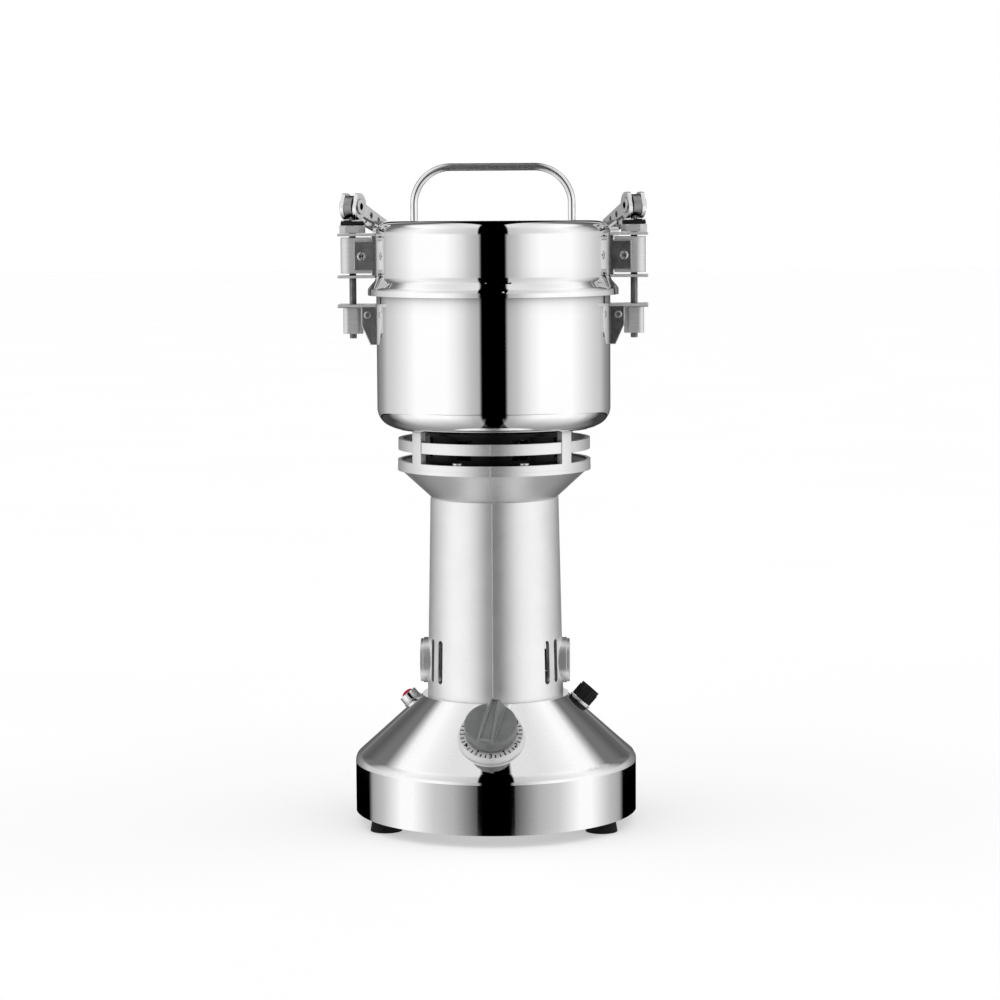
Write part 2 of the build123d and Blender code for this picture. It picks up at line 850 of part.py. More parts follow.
# Black bearing plate that carries the bowl and the upper bearing
hub_low = rim_ledge + hub_flange_thickness
hub_top_under = bowl_bottom - hub_top_thickness
bearing_low = hub_top_under - bearing_boss_height
bowl_screw_points = [on_circle(bowl_screw_circle, a) for a in corner_angles]
window_start = hub_radius - hub_wall - overcut
flange_middle = (rim_ledge + hub_low) / 2
with BuildPart() as bearing_plate:
    tube(Plane.XY, rim_radius - rim_wall - press_gap, hub_radius - hub_wall, rim_ledge, hub_low)
    tube(Plane.XY, hub_radius, hub_radius - hub_wall, hub_low, hub_top_under)
    rod(Plane.XY, hub_top_radius, hub_top_under, bowl_bottom)
    rod(Plane.XY, bearing_boss_radius, bearing_low, hub_top_under)
    for i in range(hub_windows):
        turn = 360 / hub_windows * (i + 0.5)
        with BuildSketch(radial_plane(turn, (hub_low + hub_top_under) / 2, window_start)):
            Rectangle(hub_window_width, hub_window_height)
        extrude(amount=hub_wall + overcut * 2, mode=Mode.SUBTRACT)
    rod(
        Plane.XY,
        upper_bearing_outer + press_gap,
        bearing_low,
        bearing_low + upper_bearing_width,
        Mode.SUBTRACT,
    )
    rod(Plane.XY, seal_hole_radius, bearing_low, bowl_bottom, Mode.SUBTRACT)
    for angle in post_angles:
        with BuildSketch(radial_plane(angle, flange_middle, post_start - press_gap)):
            Rectangle(post_width + press_gap * 2, hub_flange_thickness)
        extrude(amount=post_depth, mode=Mode.SUBTRACT)
    with BuildSketch(Plane.XY.offset(rim_ledge)):
        with Locations(*plate_screw_points):
            Circle(plate_screw_radius + press_gap)
    extrude(amount=hub_flange_thickness, mode=Mode.SUBTRACT)
    with BuildSketch(Plane.XY.offset(hub_top_under)):
        with Locations(*bowl_screw_points):
            Circle(bowl_screw_radius + press_gap)
    extrude(amount=hub_top_thickness, mode=Mode.SUBTRACT)
save(bearing_plate, "bearing_plate")

with BuildPart() as upper_bearing:
    tube(
        Plane.XY,
        upper_bearing_outer,
        shaft_radius + running_gap,
        bearing_low,
        bearing_low + upper_bearing_width,
    )
save(upper_bearing, "upper_bearing")

# Bowl
bowl_line = [
    (seal_hole_radius, bowl_bottom),
    (bowl_radius, bowl_bottom),
    (bowl_radius, bowl_rim_height),
    (bowl_rim_radius, bowl_rim_height),
]
bowl_floor = bowl_bottom + bowl_sheet
with BuildPart() as bowl:
    with BuildSketch(Plane.XZ):
        Polygon(*sheet_outline(bowl_line, bowl_sheet), align=None)
        round_corner(bowl_line[1], bowl_corner)
        round_corner(offset_point(bowl_line, 1, bowl_sheet), bowl_corner - bowl_sheet)
    revolve(axis=Axis.Z)
    with BuildSketch(Plane.XY.offset(bowl_bottom)):
        with Locations(*bowl_screw_points):
            Circle(bowl_screw_radius + press_gap)
    extrude(amount=bowl_sheet, mode=Mode.SUBTRACT)
save(bowl, "bowl")

# Screws of the bowl, and of the bearing plate under it
with BuildPart() as bowl_screws:
    with BuildSketch(Plane.XY.offset(bowl_floor)):
        with Locations(*bowl_screw_points):
            Circle(bowl_screw_head_radius)
    extrude(amount=bowl_screw_head_height)
    with BuildSketch(Plane.XY.offset(bowl_floor)):
        with Locations(*bowl_screw_points):
            Circle(bowl_screw_radius)
    extrude(amount=-bowl_screw_length)
    with BuildSketch(Plane.XY.offset(hub_low)):
        with Locations(*plate_screw_points):
            Circle(plate_screw_head_radius)
    extrude(amount=plate_screw_head_height)
    with BuildSketch(Plane.XY.offset(hub_low)):
        with Locations(*plate_screw_points):
            Circle(plate_screw_radius)
    extrude(amount=-hub_flange_thickness - plate_screw_depth)
save(bowl_screws, "bowl_screws")

with BuildPart() as shaft_seal:
    tube(
        Plane.XY,
        seal_hole_radius - press_gap,
        shaft_radius + running_gap,
        bowl_floor - seal_drop,
        bowl_floor,
    )
    tube(Plane.XY, seal_flange_radius, shaft_radius + running_gap, bowl_floor, bowl_floor + seal_flange)
save(shaft_seal, "shaft_seal")

# Blades on the shaft inside the bowl
stack_low = bowl_floor + seal_flange + free_gap
lower_blade_low = stack_low + lower_spacer
upper_blade_low = lower_blade_low + blade_thickness + upper_spacer
nut_low = upper_blade_low + blade_thickness
with BuildPart() as blade_spacers:
    tube(Plane.XY, spacer_radius, shaft_radius + press_gap, stack_low, lower_blade_low)
    tube(
        Plane.XY,
        spacer_radius,
        shaft_radius + press_gap,
        lower_blade_low + blade_thickness,
        upper_blade_low,
    )
save(blade_spacers, "blade_spacers")

with BuildPart() as lower_blade:
    half_width = lower_blade_width / 2
    with BuildSketch(Plane.XY.offset(lower_blade_low)):
        Polygon(
            (lower_blade_half, -half_width),
            (lower_blade_half - lower_blade_cut, half_width),
            (-lower_blade_half, half_width),
            (-lower_blade_half + lower_blade_cut, -half_width),
            align=None,
        )
        Circle(shaft_radius + press_gap, mode=Mode.SUBTRACT)
    extrude(amount=blade_thickness)
    long_edges = edges().filter_by(Axis.X).sort_by(Axis.Z)[-2:]
    chamfer(long_edges, length=blade_bevel)
save(lower_blade, "lower_blade")

upper_line = [
    (-upper_blade_half, upper_blade_low + upper_blade_rise),
    (-upper_blade_flat, upper_blade_low),
    (upper_blade_flat, upper_blade_low),
    (upper_blade_half, upper_blade_low + upper_blade_rise),
]
with BuildPart() as upper_blade:
    with BuildSketch(Plane.YZ):
        Polygon(*sheet_outline(upper_line, blade_thickness), align=None)
    extrude(amount=upper_blade_width / 2, both=True)
    rod(Plane.XY, shaft_radius + press_gap, upper_blade_low, nut_low, Mode.SUBTRACT)
save(upper_blade, "upper_blade")

with BuildPart() as blade_nut:
    with BuildSketch(Plane.XY.offset(nut_low)):
        RegularPolygon(blade_nut_width / 2, 6, major_radius=False)
        Circle(shaft_radius + press_gap, mode=Mode.SUBTRACT)
    extrude(amount=blade_nut_height)
save(blade_nut, "blade_nut")

# Lid
lid_line = [
    (lid_lip_radius, lid_lip_bottom),
    (lid_lip_radius, lid_lip_top),
    (lid_radius, lid_step_top),
    (lid_radius, lid_top),
    (0, lid_top),
]
with BuildPart() as lid_shell:
    with BuildSketch(Plane.XZ):
        Polygon(*sheet_outline(lid_line, lid_sheet), align=None)
        round_corner(lid_line[3], lid_corner)
        round_corner(offset_point(lid_line, 3, lid_sheet), lid_corner - lid_sheet)
        round_corner(lid_line[1], lid_lip_round)
        round_corner(offset_point(lid_line, 1, lid_sheet), lid_lip_round - lid_sheet)
        round_corner(lid_line[2], lid_step_round)
        round_corner(offset_point(lid_line, 2, lid_sheet), lid_step_round + lid_sheet)
    revolve(axis=Axis.Z)
save(lid_shell, "lid_shell")

# Soft ring under the step of the lid
seal_low = bowl_rim_height + bowl_sheet + seal_rest_gap
step_inner_high = offset_point(lid_line, 2, lid_sheet)
step_inner_low = offset_point(lid_line, 1, lid_sheet)
step_fall = (step_inner_high[1] - step_inner_low[1]) / (step_inner_low[0] - step_inner_high[0])


def step_under(reach):
    """Height of the underside of the lid's step at a distance from the axis."""
    return step_inner_low[1] + (step_inner_low[0] - reach) * step_fall


with BuildPart() as lid_seal:
    with BuildSketch(Plane.XZ):
        Polygon(
            (lid_seal_inner, seal_low),
            (lid_seal_outer, seal_low),
            (lid_seal_outer, step_under(lid_seal_outer) - free_gap),
            (lid_seal_inner, step_under(lid_seal_inner) - free_gap),
            align=None,
        )
    revolve(axis=Axis.Z)
save(lid_seal, "lid_seal")

# Wire handle, welded to the top of the lid
handle_axis_top = handle_top - handle_wire
with BuildPart() as lid_handle:
    with BuildLine(Plane.XZ) as handle_path:
        FilletPolyline(
            (-handle_half_span, lid_top),
            (-handle_half_span, handle_axis_top),
            (handle_half_span, handle_axis_top),
            (handle_half_span, lid_top),
            radius=handle_corner,
        )
    with BuildSketch(Plane(origin=(-handle_half_span, 0, lid_top), z_dir=(0, 0, 1))):
        Circle(handle_wire)
    sweep()
save(lid_handle, "lid_handle")

# Clamp bracket: a C of sheet on the lid, with two ears that hold the block
bracket_start = lid_radius - bracket_half_width
ear_reach = clamp_radius - ear_short
screw_plane = Plane(
    origin=(clamp_screw_reach, 0, clamp_screw_height), x_dir=(1, 0, 0), z_dir=(0, -1, 0)
)
with BuildPart() as clamp_bracket_right:
    with BuildSketch(Plane.XZ.offset(-bracket_half_width)):
        Polygon(
            (bracket_start, bracket_bottom),
            (bracket_reach, bracket_bottom),
            (bracket_reach, bracket_bottom + bracket_sheet),
            (bracket_web_face, bracket_bottom + bracket_sheet),
            (bracket_web_face, bracket_top - bracket_sheet),
            (bracket_reach, bracket_top - bracket_sheet),
            (bracket_reach, bracket_top),
            (bracket_start, bracket_top),
            align=None,
        )
    extrude(amount=bracket_half_width * 2)
    for front in (-bracket_half_width, bracket_half_width - bracket_sheet):
        slab(
            (bracket_web_face, front, bracket_bottom + ear_margin),
            (ear_reach, front + bracket_sheet, bracket_top - ear_margin),
        )
    rod(Plane.XY, lid_radius, bracket_bottom - overcut, bracket_top + overcut, Mode.SUBTRACT)
    rod(
        Plane.XY,
        lid_radius + bracket_relief,
        bracket_bottom - overcut,
        bracket_bottom + bracket_sheet,
        Mode.SUBTRACT,
    )
    rod(clamp_axis, bolt_radius + free_gap, bracket_bottom, bracket_top, Mode.SUBTRACT)
    rod(
        screw_plane,
        clamp_screw_radius + press_gap,
        -bracket_half_width,
        bracket_half_width,
        Mode.SUBTRACT,
    )
save(clamp_bracket_right, "clamp_bracket_right")

block_half_width = bracket_half_width - bracket_sheet - press_gap
block_inner = bracket_web_face + free_gap
block_outer = clamp_radius + block_past_bolt
with BuildPart() as clamp_block_right:
    slab((block_inner, -block_half_width, block_bottom), (block_outer, block_half_width, block_top))
    outer_edges = edges().filter_by(Axis.Z).sort_by(Axis.X)[-2:]
    fillet(outer_edges, block_round)
    rod(clamp_axis, bolt_radius + free_gap, block_bottom, block_top, Mode.SUBTRACT)
    for start in (-bracket_half_width, bracket_half_width - clamp_screw_length):
        rod(
            screw_plane,
            clamp_screw_radius + press_gap,
            start,
            start + clamp_screw_length,
            Mode.SUBTRACT,
        )
save(clamp_block_right, "clamp_block_right")

# Hexagonal seat under the cam, with a slot that lets the eye of the bolt down
inward = radians(lever_inward_angle)
lever_plane = Plane(
    origin=(clamp_radius, 0, pivot_height),
    x_dir=(-sin(inward), cos(inward), 0),
    z_dir=(cos(inward), sin(inward), 0),
)
seat_low = bracket_top + free_gap
seat_top = seat_low + seat_height
pad_top = seat_top + seat_pad_height
eye_slot_low = pivot_height - cam_draw - eye_radius - free_gap
with BuildPart() as cam_seat_right:
    with BuildSketch(clamp_axis.offset(seat_low)):
        RegularPolygon(seat_width / 2, 6, major_radius=False)
    extrude(amount=seat_height)
    rod(clamp_axis, seat_pad_radius, seat_top, pad_top)
    with BuildSketch(
        Plane(origin=(clamp_radius, 0, eye_slot_low), x_dir=lever_plane.x_dir, z_dir=(0, 0, 1))
    ):
        Rectangle(seat_pad_radius * 2 + overcut, eye_thickness + free_gap * 2)
    extrude(amount=pad_top - eye_slot_low, mode=Mode.SUBTRACT)
    rod(clamp_axis, bolt_radius + running_gap, seat_low, pad_top, Mode.SUBTRACT)
save(cam_seat_right, "cam_seat_right")

# Draw bolt with its eye
with BuildPart() as draw_bolt_right:
    rod(clamp_axis, bolt_radius, bolt_bottom, pivot_height - eye_radius / 2)
    rod(lever_plane, eye_radius, -eye_thickness / 2, eye_thickness / 2)
    rod(lever_plane, pin_radius + running_gap, -eye_thickness / 2, eye_thickness / 2, Mode.SUBTRACT)
save(draw_bolt_right, "draw_bolt_right")

# Nut that passes the slot of the catch lengthwise and holds crosswise
nut_top = catch_top - catch_sheet - free_gap
with BuildPart() as turned_nut_right:
    with BuildSketch(clamp_axis.offset(nut_top)):
        SlotOverall(nut_length, nut_width)
        Circle(bolt_radius + press_gap, mode=Mode.SUBTRACT)
    extrude(amount=-nut_height)
save(turned_nut_right, "turned_nut_right")

# Cam lever: two cheeks with a spiral edge that ends in a flat, two drilled arms and a finger tab
cam_radius = pivot_height - pad_top - free_gap
cam_foot = 270


def cheek_radius(angle):
    """Radius of the cheek at an angle from the arm, counted over the top."""
    spiral_end = cam_foot - lever_opening
    if angle >= cam_foot:
        return cam_radius
    if angle >= spiral_end:
        return cam_radius - cam_draw * (cam_foot - angle) / lever_opening
    low = cam_radius - cam_draw
    lean = cos(radians(spiral_end - angle))
    if lean * cam_top_radius <= low:
        return cam_top_radius
    return low / lean


cheek_points = []
for angle in range(0, 360, cheek_step):
    size = cheek_radius(angle)
    cheek_points.append((size * cos(radians(angle)), size * sin(radians(angle))))
arm_rest = Location((0, 0), -lever_rest_drop)
arm_under = -arm_tip_under

with BuildPart() as cam_lever_right:
    for start in (-cheek_outer, cheek_inner):
        with BuildSketch(lever_plane.offset(start)):
            Polygon(*cheek_points, align=None)
            with Locations(arm_rest):
                Polygon(
                    (0, -arm_root_under),
                    (arm_length, arm_under),
                    (arm_length, arm_tip_top),
                    (0, arm_root_top),
                    align=None,
                )
                for distance, radius in arm_holes:
                    with Locations((distance, -arm_hole_drop)):
                        Circle(radius, mode=Mode.SUBTRACT)
            Circle(pin_radius + press_gap, mode=Mode.SUBTRACT)
        extrude(amount=cheek_outer - cheek_inner)
    with BuildSketch(lever_plane):
        with Locations(arm_rest):
            with Locations((arm_length - arm_web_length / 2, arm_under + arm_web_thickness / 2)):
                Rectangle(arm_web_length, arm_web_thickness)
            Polygon(
                (arm_length - arm_web_thickness, arm_under + arm_web_thickness),
                (arm_length, arm_under + arm_web_thickness),
                (arm_length + tab_sweep, arm_under - tab_drop),
                (arm_length + tab_sweep - arm_web_thickness, arm_under - tab_drop),
                align=None,
            )
    extrude(amount=cheek_outer, both=True)
save(cam_lever_right, "cam_lever_right")

# Hollow rivet that the lever turns on
pin_end = cheek_outer + pin_head_height
with BuildPart() as lever_pin_right:
    rod(lever_plane, pin_radius, -cheek_outer, cheek_outer)
    rod(lever_plane, pin_head_radius, cheek_outer, pin_end)
    rod(lever_plane, pin_head_radius, -pin_end, -cheek_outer)
    rod(lever_plane, pin_hollow_radius, pin_end - pin_hollow_depth, pin_end, Mode.SUBTRACT)
    rod(lever_plane, pin_hollow_radius, -pin_end, pin_hollow_depth - pin_end, Mode.SUBTRACT)
save(lever_pin_right, "lever_pin_right")

# Cross-head screws through the ears, on both clamps
with BuildPart() as clamp_screws:
    for side in (-1, 1):
        for front in (-1, 1):
            head_plane = Plane(
                origin=(side * clamp_screw_reach, front * bracket_half_width, clamp_screw_height),
                x_dir=(1, 0, 0),
                z_dir=(0, front, 0),
            )
            rod(head_plane, clamp_screw_radius, -clamp_screw_length, 0)
            with BuildSketch(head_plane):
                Circle(clamp_screw_head_radius)
            extrude(amount=clamp_screw_head_height, taper=clamp_screw_head_taper)
            with BuildSketch(head_plane.offset(clamp_screw_head_height)):
                Rectangle(cross_length, cross_width)
                Rectangle(cross_width, cross_length)
            extrude(amount=-cross_depth, mode=Mode.SUBTRACT)
save(clamp_screws, "clamp_screws")

# Slotted catch bracket on the bowl, with rivet heads on its gussets
catch_flange_low = catch_top - catch_sheet
catch_start = bowl_radius - catch_half_width
catch_web_face = bowl_radius + catch_web
catch_reach = clamp_radius + catch_past_bolt
gusset_reach = clamp_radius - gusset_inset
slot_half_width = nut_width / 2 + slot_side_gap
slot_start = clamp_radius - nut_length / 2 - slot_side_gap
with BuildPart() as catch_bracket_right:
    slab((catch_start, -catch_half_width, catch_bottom), (catch_web_face, catch_half_width, catch_top))
    slab((catch_start, -catch_half_width, catch_flange_low), (catch_reach, catch_half_width, catch_top))
    for front in (-catch_half_width, catch_half_width - gusset_sheet):
        with BuildSketch(Plane.XZ.offset(-front - gusset_sheet)):
            Polygon(
                (catch_start, catch_bottom),
                (catch_web_face + gusset_foot, catch_bottom),
                (gusset_reach, gusset_corner),
                (gusset_reach, catch_flange_low),
                (catch_start, catch_flange_low),
                align=None,
            )
        extrude(amount=gusset_sheet)
    for front in (-1, 1):
        rivet_plane = Plane(
            origin=(catch_web_face + rivet_inset, front * catch_half_width, rivet_height),
            x_dir=(1, 0, 0),
            z_dir=(0, front, 0),
        )
        rod(rivet_plane, rivet_radius, 0, rivet_rise)
    rod(Plane.XY, bowl_radius, catch_bottom - overcut, catch_top + overcut, Mode.SUBTRACT)
    slab(
        (slot_start, -slot_half_width, catch_flange_low),
        (catch_reach + overcut, slot_half_width, catch_top),
        Mode.SUBTRACT,
    )
save(catch_bracket_right, "catch_bracket_right")

# The left clamp mirrors the right one
with BuildPart() as clamp_bracket_left:
    mirror(clamp_bracket_right.part, about=Plane.YZ)
save(clamp_bracket_left, "clamp_bracket_left")

with BuildPart() as clamp_block_left:
    mirror(clamp_block_right.part, about=Plane.YZ)
save(clamp_block_left, "clamp_block_left")

with BuildPart() as cam_seat_left:
    mirror(cam_seat_right.part, about=Plane.YZ)
save(cam_seat_left, "cam_seat_left")

with BuildPart() as draw_bolt_left:
    mirror(draw_bolt_right.part, about=Plane.YZ)
save(draw_bolt_left, "draw_bolt_left")

with BuildPart() as turned_nut_left:
    mirror(turned_nut_right.part, about=Plane.YZ)
save(turned_nut_left, "turned_nut_left")

with BuildPart() as cam_lever_left:
    mirror(cam_lever_right.part, about=Plane.YZ)
save(cam_lever_left, "cam_lever_left")

with BuildPart() as lever_pin_left:
    mirror(lever_pin_right.part, about=Plane.YZ)
save(lever_pin_left, "lever_pin_left")

with BuildPart() as catch_bracket_left:
    mirror(catch_bracket_right.part, about=Plane.YZ)
save(catch_bracket_left, "catch_bracket_left")

# Timer dial on the cone, the timer behind it and the knob in front
timer_axis = Axis(timer_plane.origin, timer_plane.z_dir)
timer_body_top = -dial_thickness - base_sheet - timer_body_drop
dial_side_taper = degrees(atan2(dial_radius - dial_face_radius, dial_thickness))
with BuildPart() as timer_dial:
    with BuildSketch(timer_plane.offset(-dial_thickness)):
        Circle(dial_radius)
    extrude(amount=dial_thickness, taper=dial_side_taper)
    rod(timer_plane, dial_radius, -dial_thickness - dial_skirt, -dial_thickness)
    add(base_envelope.part, mode=Mode.SUBTRACT)
    rod(timer_plane, timer_bush_radius + press_gap, -dial_thickness - dial_skirt, 0, Mode.SUBTRACT)
save(timer_dial, "timer_dial")

with BuildPart() as timer_body:
    rod(timer_plane, timer_body_radius, timer_body_top - timer_body_length, timer_body_top)
    rod(timer_plane, timer_bush_radius, timer_body_top, 0)
    rod(timer_plane, spindle_radius + running_gap, timer_body_top - overcut, 0, Mode.SUBTRACT)
save(timer_body, "timer_body")

with BuildPart() as timer_spindle:
    rod(timer_plane, spindle_radius, timer_body_top, spindle_reach)
save(timer_spindle, "timer_spindle")

# Grip of the knob: a wedge that rises from its low end to the end that points at the scale
grip_length = grip_low_end + grip_high_end
grip_line = Location((0, 0), -grip_tilt)
with BuildPart() as knob_grip:
    with BuildSketch(timer_plane.offset(knob_face - grip_root)):
        with Locations(grip_line):
            Polygon(
                (-grip_low_half_width, -grip_low_end),
                (grip_low_half_width, -grip_low_end),
                (grip_high_half_width, grip_high_end),
                (-grip_high_half_width, grip_high_end),
                align=None,
            )
    with BuildSketch(timer_plane.offset(knob_face + grip_high_rise)):
        with Locations(grip_line):
            Polygon(
                (-grip_top_low_half_width, -grip_low_end + grip_end_slope),
                (grip_top_low_half_width, -grip_low_end + grip_end_slope),
                (grip_top_high_half_width, grip_high_end - grip_end_slope),
                (-grip_top_high_half_width, grip_high_end - grip_end_slope),
                align=None,
            )
    loft()
    crest_pitch = atan2(grip_high_rise - grip_low_rise, grip_length)
    crest_length = hypot(grip_high_rise - grip_low_rise, grip_length)
    crest_low = timer_plane.offset(knob_face + grip_low_rise)
    grip_turn = radians(grip_tilt)
    along = crest_low.x_dir * sin(grip_turn) + crest_low.y_dir * cos(grip_turn)
    across = crest_low.x_dir * cos(grip_turn) - crest_low.y_dir * sin(grip_turn)
    crest_plane = Plane(
        origin=crest_low.origin - along * grip_low_end,
        x_dir=across,
        z_dir=crest_low.z_dir * cos(crest_pitch) - along * sin(crest_pitch),
    )
    split(bisect_by=crest_plane, keep=Keep.BOTTOM)
    with BuildSketch(crest_plane):
        Polygon(
            (-groove_low_half_width, groove_margin),
            (groove_low_half_width, groove_margin),
            (groove_high_half_width, crest_length - groove_margin),
            (-groove_high_half_width, crest_length - groove_margin),
            align=None,
        )
    extrude(amount=-groove_depth, mode=Mode.SUBTRACT)

with BuildPart() as timer_knob:
    rod(timer_plane, knob_radius, knob_lift + knob_hub_height, knob_face)
    fillet(edges().filter_by(GeomType.CIRCLE).sort_by(timer_axis)[-1], knob_round)
    rod(timer_plane, knob_hub_radius, knob_lift, knob_lift + knob_hub_height)
    add(knob_grip.part)
    rod(timer_plane, spindle_radius + press_gap, knob_lift, spindle_reach, Mode.SUBTRACT)
save(timer_knob, "timer_knob")

# Push button of the overload switch
with BuildPart() as button_bezel:
    rod(button_plane, bezel_radius, 0, bezel_height)
    rod(button_plane, bezel_flange_radius, 0, bezel_flange)
    rod(button_plane, bezel_flange_radius, -overcut, 0)
    add(base_envelope.part, mode=Mode.SUBTRACT)
    rod(button_plane, control_hole_radius, -button_depth - button_travel - free_gap, 0)
    rod(
        button_plane,
        button_radius + button_gap,
        -button_depth - button_travel - free_gap,
        bezel_height,
        Mode.SUBTRACT,
    )
save(button_bezel, "button_bezel")

with BuildPart() as overload_switch:
    switch_top = -button_depth - button_travel - free_gap
    rod(button_plane, switch_radius, switch_top - switch_length, switch_top)
save(overload_switch, "overload_switch")

with BuildPart() as push_button:
    rod(button_plane, button_radius, -button_depth, button_height)
    fillet(edges().filter_by(GeomType.CIRCLE).sort_by(Axis.Z)[-1], button_round)
save(push_button, "push_button")

# Fuse holder
with BuildPart() as fuse_washer_ring:
    rod(fuse_plane, fuse_washer_radius, -overcut, fuse_washer)
    add(base_envelope.part, mode=Mode.SUBTRACT)
    rod(fuse_plane, fuse_body_radius + press_gap, -overcut, fuse_washer, Mode.SUBTRACT)
save(fuse_washer_ring, "fuse_washer")

fuse_link_low = -fuse_body_length + fuse_body_end
with BuildPart() as fuse_holder:
    rod(fuse_plane, fuse_body_radius, -fuse_body_length, fuse_washer)
    rod(fuse_plane, fuse_bore_radius, fuse_link_low, fuse_washer, Mode.SUBTRACT)
save(fuse_holder, "fuse_holder")

with BuildPart() as fuse_link:
    rod(fuse_plane, fuse_link_radius, fuse_link_low, fuse_link_low + fuse_link_length)
save(fuse_link, "fuse_link")

cap_low = fuse_washer + free_gap
with BuildPart() as fuse_cap:
    rod(fuse_plane, fuse_cap_radius, cap_low, fuse_cap_top)
    with BuildSketch(fuse_plane.offset(cap_low)):
        with PolarLocations(fuse_cap_radius, fuse_rib_count):
            Circle(fuse_rib_radius)
    extrude(amount=fuse_rib_length)
    rod(fuse_plane, fuse_stem_radius, -fuse_stem_depth, cap_low)
    with BuildSketch(fuse_plane.offset(fuse_cap_top)):
        Rectangle(fuse_cap_slot_length, fuse_cap_slot)
    extrude(amount=-fuse_cap_slot_depth, mode=Mode.SUBTRACT)
save(fuse_cap, "fuse_cap")
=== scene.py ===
"""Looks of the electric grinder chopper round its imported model.

Every solid gets a finish, and a studio, a floor and a camera are set round it. Four kinds of small pieces
are added: the dial's printed scale, the bolts' threads, the cam seats' bushes and the button's dome.
"""

import json
import math

import bmesh
import bpy
from mathutils import Matrix, Vector

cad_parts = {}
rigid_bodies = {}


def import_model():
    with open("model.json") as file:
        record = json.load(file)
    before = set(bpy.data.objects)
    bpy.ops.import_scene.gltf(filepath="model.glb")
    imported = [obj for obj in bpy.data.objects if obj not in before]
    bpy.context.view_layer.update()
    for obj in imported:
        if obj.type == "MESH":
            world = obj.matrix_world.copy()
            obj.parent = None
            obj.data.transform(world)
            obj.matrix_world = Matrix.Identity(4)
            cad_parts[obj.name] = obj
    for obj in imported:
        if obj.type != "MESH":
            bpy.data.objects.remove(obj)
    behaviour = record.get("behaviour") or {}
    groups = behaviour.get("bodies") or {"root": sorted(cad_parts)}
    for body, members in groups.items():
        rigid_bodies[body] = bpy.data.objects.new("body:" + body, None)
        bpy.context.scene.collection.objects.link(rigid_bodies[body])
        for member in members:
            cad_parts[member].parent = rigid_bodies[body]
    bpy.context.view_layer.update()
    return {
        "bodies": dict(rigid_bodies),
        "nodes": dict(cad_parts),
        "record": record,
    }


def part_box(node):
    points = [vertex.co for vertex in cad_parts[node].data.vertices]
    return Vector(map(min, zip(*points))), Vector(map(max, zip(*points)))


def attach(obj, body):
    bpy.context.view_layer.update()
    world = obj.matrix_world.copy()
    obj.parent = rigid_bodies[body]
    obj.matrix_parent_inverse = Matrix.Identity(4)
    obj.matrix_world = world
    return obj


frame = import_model()
nodes = frame["nodes"]

# Degrees in half a turn, and a millimetre in metres
HALF_TURN = 180
MM = 0.001

# Camera, in metres and degrees: its place beside, in front of and above the object, its turn, tilt and roll
CAMERA_SIDE = 0.0033
CAMERA_DISTANCE = 1.727
CAMERA_HEIGHT = 0.370
CAMERA_TURN = 2.3
CAMERA_TILT = 5.82
CAMERA_ROLL = -0.33

# Turn, in degrees, that makes a new camera look level instead of down
CAMERA_LEVEL = 90

# Camera's lens and sensor, in millimetres, and how far it sees, in metres
CAMERA_LENS = 103.9
CAMERA_SENSOR = 36
CAMERA_SIGHT = 50

# Studio bands: angle round the object from the camera's side, in degrees, and brightness
HIGH_BANDS = (
    (0, 0.50), (20, 0.56), (35, 0.67), (51, 0.75), (68, 0.88), (87, 1.0), (121, 1.0), (126.5, 0.90),
    (131, 0.72), (133.5, 0.52), (140, 0.21), (149, 0.10), (158, 0.13), (163, 0.75), (180, 0.9),
)
SLOPE_BANDS = (
    (0, 0.50), (20, 0.56), (35, 0.67), (51, 0.75), (68, 0.88), (82, 0.96), (94, 0.86), (104.5, 0.68),
    (116, 0.50), (129, 0.17), (140, 0.17), (149, 0.10), (158, 0.13), (163, 0.75), (180, 0.9),
)
UPPER_BANDS = (
    (0, 0.0), (11.5, 0.0), (14, 0.42), (23, 0.56), (30, 0.73), (38, 0.88), (47, 1.0),
    (82, 1.0), (96, 0.84), (116, 0.64), (128, 0.56), (142, 0.30), (165, 0.12), (171, 0.12),
    (175, 1.0), (180, 1.0),
)
LOWER_BANDS = (
    (0, 0.0), (14.6, 0.0), (15.6, 0.09), (23, 0.22), (35, 0.44), (52, 0.60), (62, 0.80),
    (72, 1.0), (84, 1.0), (97, 0.70), (106, 0.52), (116, 0.42), (121, 0.34), (127, 0.0), (180, 0.0),
)
BAND_STRENGTH = 1.08

# Heights, as the sine of the angle above the horizon, between which one part of the studio gives way to the
# next, from straight below to straight above
FLOOR_CHANGE = (-0.99, -0.40)
LOWER_START = (-0.221, -0.217)
LOWER_END = (-0.190, -0.186)
SLOPE_CHANGE = (0.12, 0.24)
HIGH_CHANGE = (0.58, 0.70)
ZENITH_CHANGE = (0.80, 0.94)

# Brightness straight below and straight above
FLOOR_LEVEL = 0.30
ZENITH_LEVEL = 0.76

# Dark strip overhead: half its width at the zenith, from its black to its bright edge, and how much it
# widens away from the zenith
STRIP_EDGE = (0.095, 0.115)
STRIP_WIDENING = 0.152

# Dark strip underneath on the camera's side: half its width, from its black to its bright edge, and where it
# ends, just behind straight down
UNDER_EDGE = (0.120, 0.140)
UNDER_END = (-0.14, -0.08)

# Dark level low down behind the object: the angles between which it starts, in degrees, and the heights
# between which it gives way to the floor's level
BACK_LEVEL = 0.05
BACK_START = (104, 132)
BACK_CHANGE = (-0.75, -0.45)

# Directions that the photo's white background fills behind the object: the angle where it starts, and the
# middle and half of its height as the sine of the angle above the horizon
BACKDROP_START = 170
BACKDROP_MIDDLE = -0.10
BACKDROP_HALF = 0.17

# Soft light from straight above, which makes the floor white: its strength, and its width in degrees
SUN_STRENGTH = 1.66
SUN_ANGLE = 130

